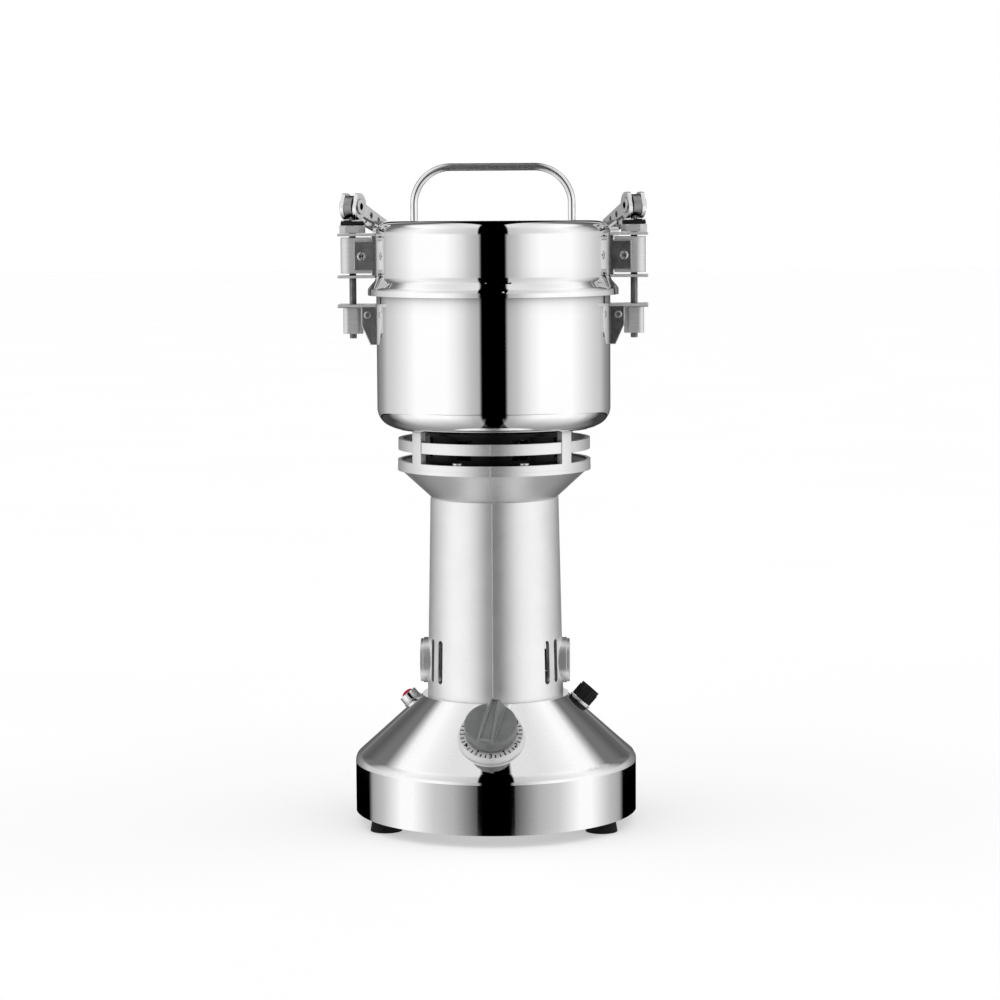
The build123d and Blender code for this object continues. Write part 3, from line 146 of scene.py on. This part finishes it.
# Floor: its width and how far below the feet it lies, in metres, and the share of it that the camera sees as
# plain white, which keeps its shadow light
FLOOR_SIZE = 30
FLOOR_DROP = 0.0002
FLOOR_WHITE = 0.4

# Rays for each point where a finish looks for edges and recesses
SHADE_SAMPLES = 6

# How well the face and its rounded edge agree where the edge lightening, wear with a painted highlight,
# starts, and where it is complete
WEAR_AND_HIGHLIGHT_START = 0.995
WEAR_AND_HIGHLIGHT_FULL = 0.93

# Share of open sky at which the painted shade in a recess is darkest
DEEP_SHARE = 0.25

# Part of a finish's mottle over which its colour changes, and fine steps in the mottle and in the grain
MOTTLE_RANGE = (0.3, 0.7)
MOTTLE_DETAIL = 3.0
GRAIN_DETAIL = 2.0

# Height of the grain, in metres
GRAIN_HEIGHT = 0.0002

# Roughness of metal where its edges are worn, and half the thickness of the clamps' plates, in metres
WORN_ROUGHNESS = 0.55
PLATE_HALF = 0.00075

# Roughness of the handle's grip, which hands have dulled, and how far below the handle's top the dulled part
# starts and is complete, in metres
DULL_ROUGHNESS = 0.27
GRIP_DEPTH = 0.014
GRIP_WIRE = 0.005

# Height of the foot of the column's rim, above which recesses get painted shade, in metres
RIM_FOOT = 0.216

# Bushes round the cam seats' pads, in metres, and their points in a full turn
BUSH_FOOT_RADIUS = 0.0071
BUSH_TOP_RADIUS = 0.0068
BUSH_BORE_RADIUS = 0.0063
BUSH_HEIGHT = 0.0030
BUSH_LIP = 0.0008
BUSH_POINTS = 48

# Threads of the draw bolts, in metres, and their points in a full turn and rows in a pitch
THREAD_PITCH = 0.0007
THREAD_ROOT = 0.00196
THREAD_CREST = 0.00222
THREAD_END = 0.0004
THREAD_POINTS = 24
THREAD_ROWS = 8

# Domed cap of the push button, in metres: its radius, and how far it goes below and above the button's flat
DOME_RADIUS = 0.00384
DOME_DROP = 0.0010
DOME_RISE = 0.0011

# Rows of that cap, its points in a full turn, and the lean of its last row, in degrees
DOME_ROWS = 9
DOME_POINTS = 40
DOME_LEAN = 86

# Printed scale of the dial, in millimetres and degrees clockwise from the top
SCALE_NUMBERS = 6
SCALE_START = 4.0
SCALE_STEP = 58.6
TICKS_PER_STEP = 6
TICK_INNER = 16.1
TICK_OUTER = 18.3
TICK_WIDTH = 0.72
DOT_RADIUS = 0.65
DOT_REACH = 15.2
DOT_CORNER = 20
NUMBER_REACH = 17.0
NUMBER_HEIGHT = 3.1
NUMBER_BOLD = 0.12
INK_THICKNESS = 0.04

# Height of a digit as a share of the font's size, and points on each of its curves
DIGIT_SHARE = 0.7
DIGIT_POINTS = 4


def clear_start():
    """Remove what a new file holds besides the model."""
    kept = set(nodes.values()) | set(frame["bodies"].values())
    for thing in list(bpy.data.objects):
        if thing not in kept:
            bpy.data.objects.remove(thing)


def grey(level):
    """A neutral colour."""
    return (level, level, level, 1)


def feed(tree, value, socket):
    """Give a socket the value of another socket, or a plain one."""
    if isinstance(value, bpy.types.NodeSocket):
        tree.links.new(value, socket)
    else:
        socket.default_value = value


def maths(tree, operation, *values):
    """The result of one operation on sockets or plain numbers."""
    node = tree.nodes.new("ShaderNodeMath")
    node.operation = operation
    for socket, value in zip(node.inputs, values):
        feed(tree, value, socket)
    return node.outputs["Value"]


def progress(tree, value, low, high):
    """A factor that goes from 0 to 1 while a value goes from one limit to the other."""
    node = tree.nodes.new("ShaderNodeMapRange")
    node.inputs["From Min"].default_value = low
    node.inputs["From Max"].default_value = high
    tree.links.new(value, node.inputs["Value"])
    return node.outputs["Result"]


def spread(tree, value, low, high):
    """Turn a value from 0 to 1 into one between two limits."""
    node = tree.nodes.new("ShaderNodeMapRange")
    node.inputs["To Min"].default_value = low
    node.inputs["To Max"].default_value = high
    tree.links.new(value, node.inputs["Value"])
    return node.outputs["Result"]


def mixed(tree, factor, first, second):
    """Blend from one colour to another, each a socket or a colour."""
    mix = tree.nodes.new("ShaderNodeMix")
    mix.data_type = "RGBA"
    tree.links.new(factor, mix.inputs["Factor"])
    sockets = [socket for socket in mix.inputs if socket.type == "RGBA"]
    for socket, value in zip(sockets, (first, second)):
        feed(tree, value, socket)
    return [socket for socket in mix.outputs if socket.type == "RGBA"][0]


def direction_parts(tree, source):
    """The three parts of a place or direction, as sockets by axis."""
    place = tree.nodes.new("ShaderNodeTexCoord")
    parts = tree.nodes.new("ShaderNodeSeparateXYZ")
    tree.links.new(place.outputs[source], parts.inputs["Vector"])
    return parts.outputs


def noise(tree, scale, stretch, detail):
    """A noise texture fixed to the piece, squeezed along an axis where the factor for it is large."""
    place = tree.nodes.new("ShaderNodeTexCoord")
    mapping = tree.nodes.new("ShaderNodeMapping")
    mapping.inputs["Scale"].default_value = stretch
    texture = tree.nodes.new("ShaderNodeTexNoise")
    texture.inputs["Scale"].default_value = scale
    texture.inputs["Detail"].default_value = detail
    tree.links.new(place.outputs["Object"], mapping.inputs["Vector"])
    tree.links.new(mapping.outputs["Vector"], texture.inputs["Vector"])
    return texture.outputs["Fac"]


def ramp(tree, value, low, high):
    """Turn a mottle into a colour between two colours."""
    node = tree.nodes.new("ShaderNodeValToRGB")
    for element, position, colour in zip(node.color_ramp.elements, MOTTLE_RANGE, (low, high)):
        element.position = position
        element.color = colour
    tree.links.new(value, node.inputs["Fac"])
    return node.outputs["Color"]


def rounded_edges(tree, radius):
    """Shade sharp edges as if they were a little rounded."""
    node = tree.nodes.new("ShaderNodeBevel")
    node.samples = SHADE_SAMPLES
    node.inputs["Radius"].default_value = radius
    return node.outputs["Normal"]


def edge_wear_and_highlight(tree, rounded):
    """How near a point is to an edge, from 0 on a flat face to 1 on the edge, for wear and a painted edge
    highlight.
    """
    face = tree.nodes.new("ShaderNodeNewGeometry")
    agree = tree.nodes.new("ShaderNodeVectorMath")
    agree.operation = "DOT_PRODUCT"
    tree.links.new(face.outputs["Normal"], agree.inputs[0])
    tree.links.new(rounded, agree.inputs[1])
    return progress(tree, agree.outputs["Value"], WEAR_AND_HIGHLIGHT_START, WEAR_AND_HIGHLIGHT_FULL)


def near_height(tree, factor, middle, half):
    """Raise a factor to 1 within a given distance of a given height, in metres."""
    inside = maths(tree, "COMPARE", direction_parts(tree, "Object")["Z"], middle, half)
    return maths(tree, "MAXIMUM", factor, inside)


def bump(tree, height, strength, normal):
    """Raise the surface a little by a texture."""
    node = tree.nodes.new("ShaderNodeBump")
    node.inputs["Strength"].default_value = strength
    node.inputs["Distance"].default_value = GRAIN_HEIGHT
    tree.links.new(height, node.inputs["Height"])
    if normal:
        tree.links.new(normal, node.inputs["Normal"])
    return node.outputs["Normal"]


def paint_shade_in_recesses(tree, colour, reach, depth, open_share, above):
    """Paint shade into a colour: darker in recesses narrower than a given reach, in metres, and above a
    given height.
    """
    shade = tree.nodes.new("ShaderNodeAmbientOcclusion")
    shade.samples = SHADE_SAMPLES
    shade.inputs["Distance"].default_value = reach
    factor = progress(tree, shade.outputs["AO"], DEEP_SHARE, open_share)
    if above:
        factor = near_height(tree, factor, above / 2, above / 2)
    return mixed(tree, factor, grey(depth), colour)


def surface(
    name, low, high, metal, rough, scale, stretch=(1, 1, 1), grain=0.0, grain_scale=900, shine=0.5,
    shade_reach=0.0, shade_depth=0.02, open_share=0.6, above=0.0, edge=0.0, worn_and_lit=None, painted_edge_heights=(), dulled=None,
):
    """A finish whose colour and gloss vary, with grain, painted shade in recesses, and edges lightened as
    wear and as a painted highlight, where asked.
    """
    material = bpy.data.materials.new(name)
    material.use_nodes = True
    tree = material.node_tree
    shader = tree.nodes["Principled BSDF"]
    mottle = noise(tree, scale, stretch, MOTTLE_DETAIL)
    colour = ramp(tree, mottle, low, high)
    gloss = spread(tree, mottle, *rough)
    normal = None
    if edge:
        normal = rounded_edges(tree, edge)
    # Edges are lightened: partly wear, partly a painted highlight along the edges
    if worn_and_lit:
        wear_and_highlight = edge_wear_and_highlight(tree, normal)
        # Painted highlight: whole edge faces at these heights are lightened as well
        for middle, half in painted_edge_heights:
            wear_and_highlight = near_height(tree, wear_and_highlight, middle, half)
        colour = mixed(tree, wear_and_highlight, colour, worn_and_lit)
        gloss = mixed(tree, wear_and_highlight, gloss, grey(WORN_ROUGHNESS))
    if dulled:
        dull = progress(tree, direction_parts(tree, "Object")["Z"], *dulled)
        gloss = mixed(tree, dull, gloss, grey(DULL_ROUGHNESS))
    # Painted shade: the colour is darkened in recesses, where shade falls
    if shade_reach:
        colour = paint_shade_in_recesses(tree, colour, shade_reach, shade_depth, open_share, above)
    tree.links.new(colour, shader.inputs["Base Color"])
    tree.links.new(gloss, shader.inputs["Roughness"])
    shader.inputs["Metallic"].default_value = metal
    shader.inputs["Specular IOR Level"].default_value = shine
    if grain:
        normal = bump(tree, noise(tree, grain_scale, stretch, GRAIN_DETAIL), grain, normal)
    if normal:
        tree.links.new(normal, shader.inputs["Normal"])
    return material


# The recess settings paint shade into a finish's colour; the edge settings lighten edges as wear and as a
# painted highlight
polished = surface(
    "polished_steel", grey(0.90), grey(0.93), metal=1.0, rough=(0.02, 0.04), scale=12,
    shade_reach=0.012, shade_depth=0.04, open_share=0.90,
)
base_steel = surface(
    "base_steel", grey(0.86), grey(0.93), metal=1.0, rough=(0.02, 0.05), scale=420, stretch=(1, 1, 24)
)
handle_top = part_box("lid_handle")[1][2]
wire_steel = surface(
    "wire_steel", grey(0.86), grey(0.92), metal=1.0, rough=(0.02, 0.04), scale=90, stretch=(6, 1, 1),
    dulled=(handle_top - GRIP_DEPTH, handle_top - GRIP_WIRE),
)
# Painted shade: recesses above the rim's foot, such as the inside of the collar ring, are darkened
cast = surface(
    "cast_alloy", grey(0.88), grey(0.94), metal=1.0, rough=(0.35, 0.43), scale=60, grain=0.10,
    grain_scale=1500, shade_reach=0.018, open_share=0.85, above=RIM_FOOT, edge=0.0005, worn_and_lit=grey(0.95),
)
bracket_low, bracket_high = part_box("clamp_bracket_left")
catch_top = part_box("catch_bracket_left")[1][2]
# Painted highlight: the whole edge faces of the clamps' plates, at these heights, get the lighter edge
# colour
painted_plate_edges = (
    (bracket_low[2] + PLATE_HALF, PLATE_HALF),
    (bracket_high[2] - PLATE_HALF, PLATE_HALF),
    (catch_top - PLATE_HALF, PLATE_HALF),
)
plated = surface(
    "plated_steel", grey(0.74), grey(0.84), metal=1.0, rough=(0.20, 0.30), scale=150, grain=0.04,
    grain_scale=1600, shade_reach=0.0012, shade_depth=0.10, edge=0.0009, worn_and_lit=grey(0.95), painted_edge_heights=painted_plate_edges,
)
satin = surface(
    "satin_block", grey(0.80), grey(0.88), metal=1.0, rough=(0.50, 0.60), scale=120, stretch=(1, 1, 10),
    grain=0.06, grain_scale=1500, shade_reach=0.0015, shade_depth=0.10, edge=0.0006, worn_and_lit=grey(0.95),
)
thread_steel = surface(
    "thread_steel", grey(0.26), grey(0.36), metal=1.0, rough=(0.25, 0.35), scale=200,
    shade_reach=0.006, shade_depth=0.015,
)
bright = surface(
    "bright_plate", grey(0.82), grey(0.92), metal=1.0, rough=(0.10, 0.16), scale=90,
    shade_reach=0.005, open_share=0.85, edge=0.0005, worn_and_lit=grey(0.97),
)
blade_steel = surface(
    "blade_steel", grey(0.64), grey(0.75), metal=1.0, rough=(0.18, 0.28), scale=120, stretch=(8, 1, 1)
)
core_steel = surface(
    "core_steel", grey(0.16), grey(0.24), metal=0.9, rough=(0.4, 0.55), scale=80, stretch=(1, 1, 20)
)
copper = surface(
    "copper", (0.60, 0.26, 0.13, 1), (0.72, 0.36, 0.20, 1), metal=1.0, rough=(0.25, 0.4), scale=160
)
carbon = surface("carbon", grey(0.015), grey(0.03), metal=0.0, rough=(0.5, 0.65), scale=90)
grey_plastic = surface(
    "grey_plastic", (0.140, 0.145, 0.143, 1), (0.17, 0.175, 0.173, 1), metal=0.0, rough=(0.24, 0.34),
    scale=120, grain=0.06, grain_scale=2600, shade_reach=0.002, shade_depth=0.05, edge=0.0006,
    worn_and_lit=(0.30, 0.31, 0.305, 1),
)
red_plastic = surface(
    "red_plastic", (0.38, 0.002, 0.014, 1), (0.46, 0.004, 0.020, 1), metal=0.0, rough=(0.35, 0.45), scale=80,
    shine=0.1,
)
black_plastic = surface(
    "black_plastic", grey(0.006), grey(0.014), metal=0.0, rough=(0.32, 0.45), scale=90,
    grain=0.06, grain_scale=2200, shine=0.2,
)
rubber = surface(
    "black_rubber", grey(0.006), grey(0.012), metal=0.0, rough=(0.6, 0.75), scale=140,
    grain=0.1, grain_scale=1800, shine=0.15,
)
silicone = surface(
    "seal_silicone", (0.66, 0.66, 0.65, 1), (0.74, 0.74, 0.73, 1), metal=0.0, rough=(0.4, 0.5), scale=60
)
# Painted shade: the dial is darkened where it nears the cone and round the knob's foot
dial_silver = surface(
    "dial_silver", grey(0.70), grey(0.78), metal=0.25, rough=(0.34, 0.44), scale=90,
    grain=0.05, grain_scale=2200, shade_reach=0.003, shade_depth=0.03, open_share=0.8,
)
ink = surface("dial_ink", grey(0.008), grey(0.016), metal=0.0, rough=(0.45, 0.55), scale=200, shine=0.2)
fuse_glass = surface(
    "fuse_glass", (0.80, 0.84, 0.84, 1), (0.86, 0.90, 0.90, 1), metal=0.0, rough=(0.05, 0.1), scale=40
)

finish_of = {
    polished: ("lid_shell", "bowl"),
    wire_steel: ("lid_handle",),
    base_steel: ("base_shell", "base_plate"),
    cast: ("housing_left", "housing_right", "lower_bearing_bridge", "brush_caps"),
    plated: (
        "catch_bracket_left", "catch_bracket_right", "clamp_bracket_left", "clamp_bracket_right",
        "base_screws", "housing_screws", "bowl_screws", "fuse_washer", "brush_springs",
    ),
    satin: (
        "clamp_block_left", "clamp_block_right", "turned_nut_left", "turned_nut_right",
        "cam_seat_left", "cam_seat_right",
    ),
    thread_steel: ("draw_bolt_left", "draw_bolt_right"),
    bright: (
        "button_bezel", "cam_lever_left", "cam_lever_right", "lever_pin_left", "lever_pin_right",
        "clamp_screws",
    ),
    blade_steel: (
        "lower_blade", "upper_blade", "blade_spacers", "blade_nut", "motor_shaft", "timer_spindle",
        "lower_bearing", "upper_bearing",
    ),
    core_steel: ("stator_core", "armature"),
    copper: ("field_coils", "commutator"),
    carbon: ("carbon_brushes",),
    dial_silver: ("timer_dial",),
    grey_plastic: ("timer_knob",),
    red_plastic: ("push_button",),
    black_plastic: (
        "bearing_plate", "fuse_cap", "fuse_holder", "overload_switch", "timer_body", "brush_holders",
        "cooling_fan",
    ),
    rubber: ("rubber_feet", "cord_bush", "shaft_seal"),
    silicone: ("lid_seal",),
    fuse_glass: ("fuse_link",),
}


def paint():
    """Give every piece of the model its finish."""
    for material, names in finish_of.items():
        for name in names:
            piece = nodes[name]
            piece.data.materials.clear()
            piece.data.materials.append(material)


def studio():
    """White surroundings for the camera, and bands of light and dark that the steel reflects."""
    world = bpy.data.worlds.new("studio")
    bpy.context.scene.world = world
    world.use_nodes = True
    tree = world.node_tree
    tree.nodes.clear()
    parts = direction_parts(tree, "Generated")
    height = parts["Z"]
    toward_camera = maths(tree, "MULTIPLY", parts["Y"], -1)
    angle = maths(tree, "ARCTAN2", parts["X"], toward_camera)
    from_camera = maths(tree, "SUBTRACT", angle, math.radians(CAMERA_TURN))
    flat = maths(tree, "SQRT", maths(tree, "SUBTRACT", 1, maths(tree, "MULTIPLY", height, height)))
    sine = maths(tree, "ABSOLUTE", maths(tree, "SINE", from_camera))
    aside = maths(tree, "MULTIPLY", sine, flat)
    ahead = maths(tree, "MULTIPLY", maths(tree, "COSINE", from_camera), flat)
    share = maths(tree, "DIVIDE", maths(tree, "ABSOLUTE", from_camera), math.pi)

    def bands(stops):
        node = tree.nodes.new("ShaderNodeValToRGB")
        elements = node.color_ramp.elements
        elements.remove(elements[-1])
        elements[0].position = stops[0][0] / HALF_TURN
        elements[0].color = grey(stops[0][1])
        for degrees, level in stops[1:]:
            elements.new(degrees / HALF_TURN).color = grey(level)
        tree.links.new(share, node.inputs["Fac"])
        return node.outputs["Color"]

    def between(value, limits, first, second):
        return mixed(tree, progress(tree, value, *limits), first, second)

    black = grey(0)
    walls = bands(UPPER_BANDS)
    skirt = between(height, LOWER_START, walls, bands(LOWER_BANDS))
    sides = between(height, LOWER_END, skirt, walls)
    ceiling = between(height, ZENITH_CHANGE, bands(HIGH_BANDS), grey(ZENITH_LEVEL))
    slopes = between(height, HIGH_CHANGE, bands(SLOPE_BANDS), ceiling)
    widening = maths(tree, "MULTIPLY", maths(tree, "ABSOLUTE", ahead), STRIP_WIDENING)
    from_strip = maths(tree, "SUBTRACT", aside, widening)
    overhead = between(from_strip, STRIP_EDGE, black, slopes)
    dome = between(height, SLOPE_CHANGE, sides, overhead)
    under = between(aside, UNDER_EDGE, black, grey(FLOOR_LEVEL))
    ground = between(ahead, UNDER_END, grey(FLOOR_LEVEL), under)
    low_front = between(height, FLOOR_CHANGE, ground, dome)
    low_back = between(height, BACK_CHANGE, ground, grey(BACK_LEVEL))
    back_shares = [degrees / HALF_TURN for degrees in BACK_START]
    low = between(share, back_shares, low_front, low_back)
    room = between(height, LOWER_START, low, dome)
    light = tree.nodes.new("ShaderNodeBackground")
    tree.links.new(room, light.inputs["Color"])
    light.inputs["Strength"].default_value = BAND_STRENGTH
    white = tree.nodes.new("ShaderNodeBackground")
    white.inputs["Color"].default_value = grey(1)
    white.inputs["Strength"].default_value = 1
    path = tree.nodes.new("ShaderNodeLightPath")
    behind = maths(tree, "GREATER_THAN", share, BACKDROP_START / HALF_TURN)
    level = maths(tree, "COMPARE", height, BACKDROP_MIDDLE, BACKDROP_HALF)
    mirrored = maths(tree, "ADD", path.outputs["Is Glossy Ray"], path.outputs["Is Transmission Ray"])
    shown = maths(tree, "MULTIPLY", mirrored, maths(tree, "MULTIPLY", behind, level))
    choose = tree.nodes.new("ShaderNodeMixShader")
    tree.links.new(maths(tree, "ADD", path.outputs["Is Camera Ray"], shown), choose.inputs["Fac"])
    tree.links.new(light.outputs["Background"], choose.inputs[1])
    tree.links.new(white.outputs["Background"], choose.inputs[2])
    out = tree.nodes.new("ShaderNodeOutputWorld")
    tree.links.new(choose.outputs["Shader"], out.inputs["Surface"])


def overhead_light():
    """Even soft light from above, which polished pieces do not mirror."""
    data = bpy.data.lights.new("overhead", "SUN")
    data.energy = SUN_STRENGTH
    data.angle = math.radians(SUN_ANGLE)
    lamp = bpy.data.objects.new("overhead", data)
    bpy.context.scene.collection.objects.link(lamp)
    lamp.visible_glossy = False


def mesh_from(shape, name):
    """The mesh of a shape that is finished."""
    data = bpy.data.meshes.new(name)
    shape.to_mesh(data)
    shape.free()
    return data


def placed(name, data):
    """An object in the scene for a mesh that is already in place."""
    thing = bpy.data.objects.new(name, data)
    bpy.context.scene.collection.objects.link(thing)
    return thing


def join_meshes(name, meshes):
    """One object from several meshes that are already in place."""
    whole = bmesh.new()
    for mesh in meshes:
        whole.from_mesh(mesh)
    return placed(name, mesh_from(whole, name))


def flat_prism(points, thickness):
    """A thin plate with a given outline, standing on the XY plane."""
    plate = bmesh.new()
    lower = [plate.verts.new((x, y, 0)) for x, y in points]
    upper = [plate.verts.new((x, y, thickness)) for x, y in points]
    plate.faces.new(list(reversed(lower)))
    plate.faces.new(upper)
    for i in range(len(points)):
        j = (i + 1) % len(points)
        plate.faces.new((lower[i], lower[j], upper[j], upper[i]))
    return mesh_from(plate, "plate")


def number_mesh(text, height, bold, thickness):
    """A printed number, centred on the origin."""
    words = bpy.data.curves.new("number", "FONT")
    words.body = text
    words.size = height / DIGIT_SHARE
    words.align_x = "CENTER"
    words.align_y = "CENTER"
    words.extrude = thickness / 2
    words.offset = bold
    words.resolution_u = DIGIT_POINTS
    holder = bpy.data.objects.new("number", words)
    data = bpy.data.meshes.new_from_object(holder)
    data.transform(Matrix.Translation((0, 0, thickness / 2)))
    bpy.data.objects.remove(holder)
    return data


def ring_surface(name, rows):
    """A closed round piece from rows of points, each row a full turn."""
    shape = bmesh.new()
    around = len(rows[0])
    loops = [[shape.verts.new(point) for point in row] for row in rows]
    for lower, upper in zip(loops, loops[1:]):
        for i in range(around):
            j = (i + 1) % around
            shape.faces.new((lower[i], lower[j], upper[j], upper[i]))
    shape.faces.new(list(reversed(loops[0])))
    shape.faces.new(loops[-1])
    thing = placed(name, mesh_from(shape, name))
    for face in thing.data.polygons:
        face.use_smooth = len(face.vertices) == 4
    return thing


def full_turn(points):
    """The angles of points spaced evenly round a circle."""
    return [2 * math.pi * i / points for i in range(points)]


def joint_row(name):
    """A joint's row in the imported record."""
    return [joint for joint in frame["record"]["behaviour"]["joints"] if joint["name"] == name][0]


def thread(name, body, x, low, high):
    """A screw thread standing out of a draw bolt's shank between two heights."""
    steps = round((high - low) / THREAD_PITCH * THREAD_ROWS)
    rows = []
    for step in range(steps + 1):
        height = low + (high - low) * step / steps
        row = []
        for i, turn in enumerate(full_turn(THREAD_POINTS)):
            phase = (height / THREAD_PITCH - i / THREAD_POINTS) % 1.0
            radius = THREAD_ROOT + (THREAD_CREST - THREAD_ROOT) * (1 - abs(2 * phase - 1))
            row.append((x + radius * math.cos(turn), radius * math.sin(turn), height))
        rows.append(row)
    piece = ring_surface(name, rows)
    piece.data.materials.append(thread_steel)
    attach(piece, body)


def bolt_threads():
    """The threads that show below the clamp bracket and below the nut, on both sides."""
    for side in ("left", "right"):
        bolt_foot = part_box("draw_bolt_" + side)[0][2]
        nut_low, nut_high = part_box("turned_nut_" + side)
        bracket_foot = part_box("clamp_bracket_" + side)[0][2]
        x = (nut_low[0] + nut_high[0]) / 2
        thread("upper_thread_" + side, "bolt_" + side, x, nut_high[2], bracket_foot)
        thread("lower_thread_" + side, "bolt_" + side, x, bolt_foot + THREAD_END, nut_low[2])


def cam_bushes():
    """A black bush round each cam seat's pad, above the seat's six flats."""
    for side in ("left", "right"):
        seat_low, seat_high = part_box("cam_seat_" + side)
        pad_top = seat_high[2]
        x = (seat_low[0] + seat_high[0]) / 2
        profile = (
            (BUSH_FOOT_RADIUS, pad_top - BUSH_HEIGHT),
            (BUSH_FOOT_RADIUS, pad_top - BUSH_HEIGHT + BUSH_LIP),
            (BUSH_TOP_RADIUS, pad_top - BUSH_LIP),
            (BUSH_BORE_RADIUS, pad_top - BUSH_LIP / 2),
        )
        turns = full_turn(BUSH_POINTS)
        rows = []
        for radius, height in profile:
            rows.append([(x + radius * math.cos(turn), radius * math.sin(turn), height) for turn in turns])
        bush = ring_surface("cam_bush_" + side, rows)
        bush.data.materials.append(rubber)
        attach(bush, "seat_" + side)


def button_dome():
    """A domed red cap on the push button, round the button's own axis."""
    out = -Vector(joint_row("button_press")["axis"])
    side = out.cross(Vector((0, 0, 1))).normalized()
    other = out.cross(side)
    points = [vertex.co for vertex in nodes["push_button"].data.vertices]
    centre = Vector((0, 0, 0))
    for direction in (side, other):
        reach = [point.dot(direction) for point in points]
        centre += direction * (min(reach) + max(reach)) / 2
    centre += out * max(point.dot(out) for point in points)
    turns = full_turn(DOME_POINTS)
    rows = []
    for row in range(DOME_ROWS):
        lean = math.radians(DOME_LEAN * row / (DOME_ROWS - 1))
        radius = DOME_RADIUS * math.cos(lean)
        middle = centre + out * ((DOME_DROP + DOME_RISE) * math.sin(lean) - DOME_DROP)
        rows.append([middle + (side * math.cos(turn) + other * math.sin(turn)) * radius for turn in turns])
    dome = ring_surface("button_dome", rows)
    dome.data.materials.append(red_plastic)
    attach(dome, "button")


def dial_marks():
    """The dial's printed scale: ticks, a dot at each half step, and numbers."""
    joint = joint_row("timer_turn")
    up = -Vector(joint["axis"])
    across = Vector((1, 0, 0))
    along = up.cross(across)
    face = Matrix((across, along, up)).transposed().to_4x4()
    face.translation = Vector(joint["pos_m"])
    marks = []
    for i in range((SCALE_NUMBERS - 1) * TICKS_PER_STEP + 1):
        turn = math.radians(SCALE_START + SCALE_STEP * i / TICKS_PER_STEP)
        spin = Matrix.Rotation(-turn, 4, "Z")
        if i % TICKS_PER_STEP == 0:
            number = str(i // TICKS_PER_STEP)
            mark = number_mesh(number, NUMBER_HEIGHT * MM, NUMBER_BOLD * MM, INK_THICKNESS * MM)
            reach = (NUMBER_REACH * math.sin(turn) * MM, NUMBER_REACH * math.cos(turn) * MM, 0)
            mark.transform(face @ Matrix.Translation(reach))
        else:
            half = TICK_WIDTH / 2 * MM
            low = TICK_INNER * MM
            high = TICK_OUTER * MM
            mark = flat_prism(((-half, low), (half, low), (half, high), (-half, high)), INK_THICKNESS * MM)
            mark.transform(face @ spin)
        marks.append(mark)
        if i % TICKS_PER_STEP == TICKS_PER_STEP // 2:
            corners = [math.radians(degrees) for degrees in range(0, 2 * HALF_TURN, DOT_CORNER)]
            ring = [(DOT_RADIUS * math.cos(a) * MM, DOT_RADIUS * math.sin(a) * MM) for a in corners]
            dot = flat_prism(ring, INK_THICKNESS * MM)
            dot.transform(face @ spin @ Matrix.Translation((0, DOT_REACH * MM, 0)))
            marks.append(dot)
    printed = join_meshes("dial_marks", marks)
    printed.data.materials.append(ink)
    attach(printed, "base")


def floor():
    """A plain pale floor that catches a soft shadow, with a share of plain white for the camera."""
    bpy.ops.mesh.primitive_plane_add(size=FLOOR_SIZE, location=(0, 0, -FLOOR_DROP))
    ground = bpy.context.object
    ground.name = "floor"
    material = surface("floor_paint", grey(0.93), grey(0.95), metal=0.0, rough=(0.9, 0.95), scale=3)
    tree = material.node_tree
    paint_out = tree.nodes["Principled BSDF"].outputs["BSDF"]
    glow = tree.nodes.new("ShaderNodeEmission")
    path = tree.nodes.new("ShaderNodeLightPath")
    white_share = maths(tree, "MULTIPLY", path.outputs["Is Camera Ray"], FLOOR_WHITE)
    blend = tree.nodes.new("ShaderNodeMixShader")
    tree.links.new(white_share, blend.inputs["Fac"])
    tree.links.new(paint_out, blend.inputs[1])
    tree.links.new(glow.outputs["Emission"], blend.inputs[2])
    tree.links.new(blend.outputs["Shader"], tree.nodes["Material Output"].inputs["Surface"])
    ground.data.materials.append(material)
    ground.visible_glossy = False


def camera():
    """The photo's view."""
    data = bpy.data.cameras.new("camera")
    data.lens = CAMERA_LENS
    data.sensor_width = CAMERA_SENSOR
    data.clip_end = CAMERA_SIGHT
    eye = bpy.data.objects.new("camera", data)
    bpy.context.scene.collection.objects.link(eye)
    turned = Matrix.Rotation(math.radians(CAMERA_TURN), 3, "Z")
    tilted = Matrix.Rotation(math.radians(CAMERA_LEVEL - CAMERA_TILT), 3, "X")
    rolled = Matrix.Rotation(math.radians(CAMERA_ROLL), 3, "Z")
    eye.rotation_euler = (turned @ tilted @ rolled).to_euler()
    eye.location = turned @ Vector((CAMERA_SIDE, -CAMERA_DISTANCE, CAMERA_HEIGHT))
    bpy.context.scene.camera = eye


clear_start()
paint()
dial_marks()
bolt_threads()
cam_bushes()
button_dome()
studio()
floor()
overhead_light()
camera()
bpy.context.scene.view_settings.view_transform = "Standard"
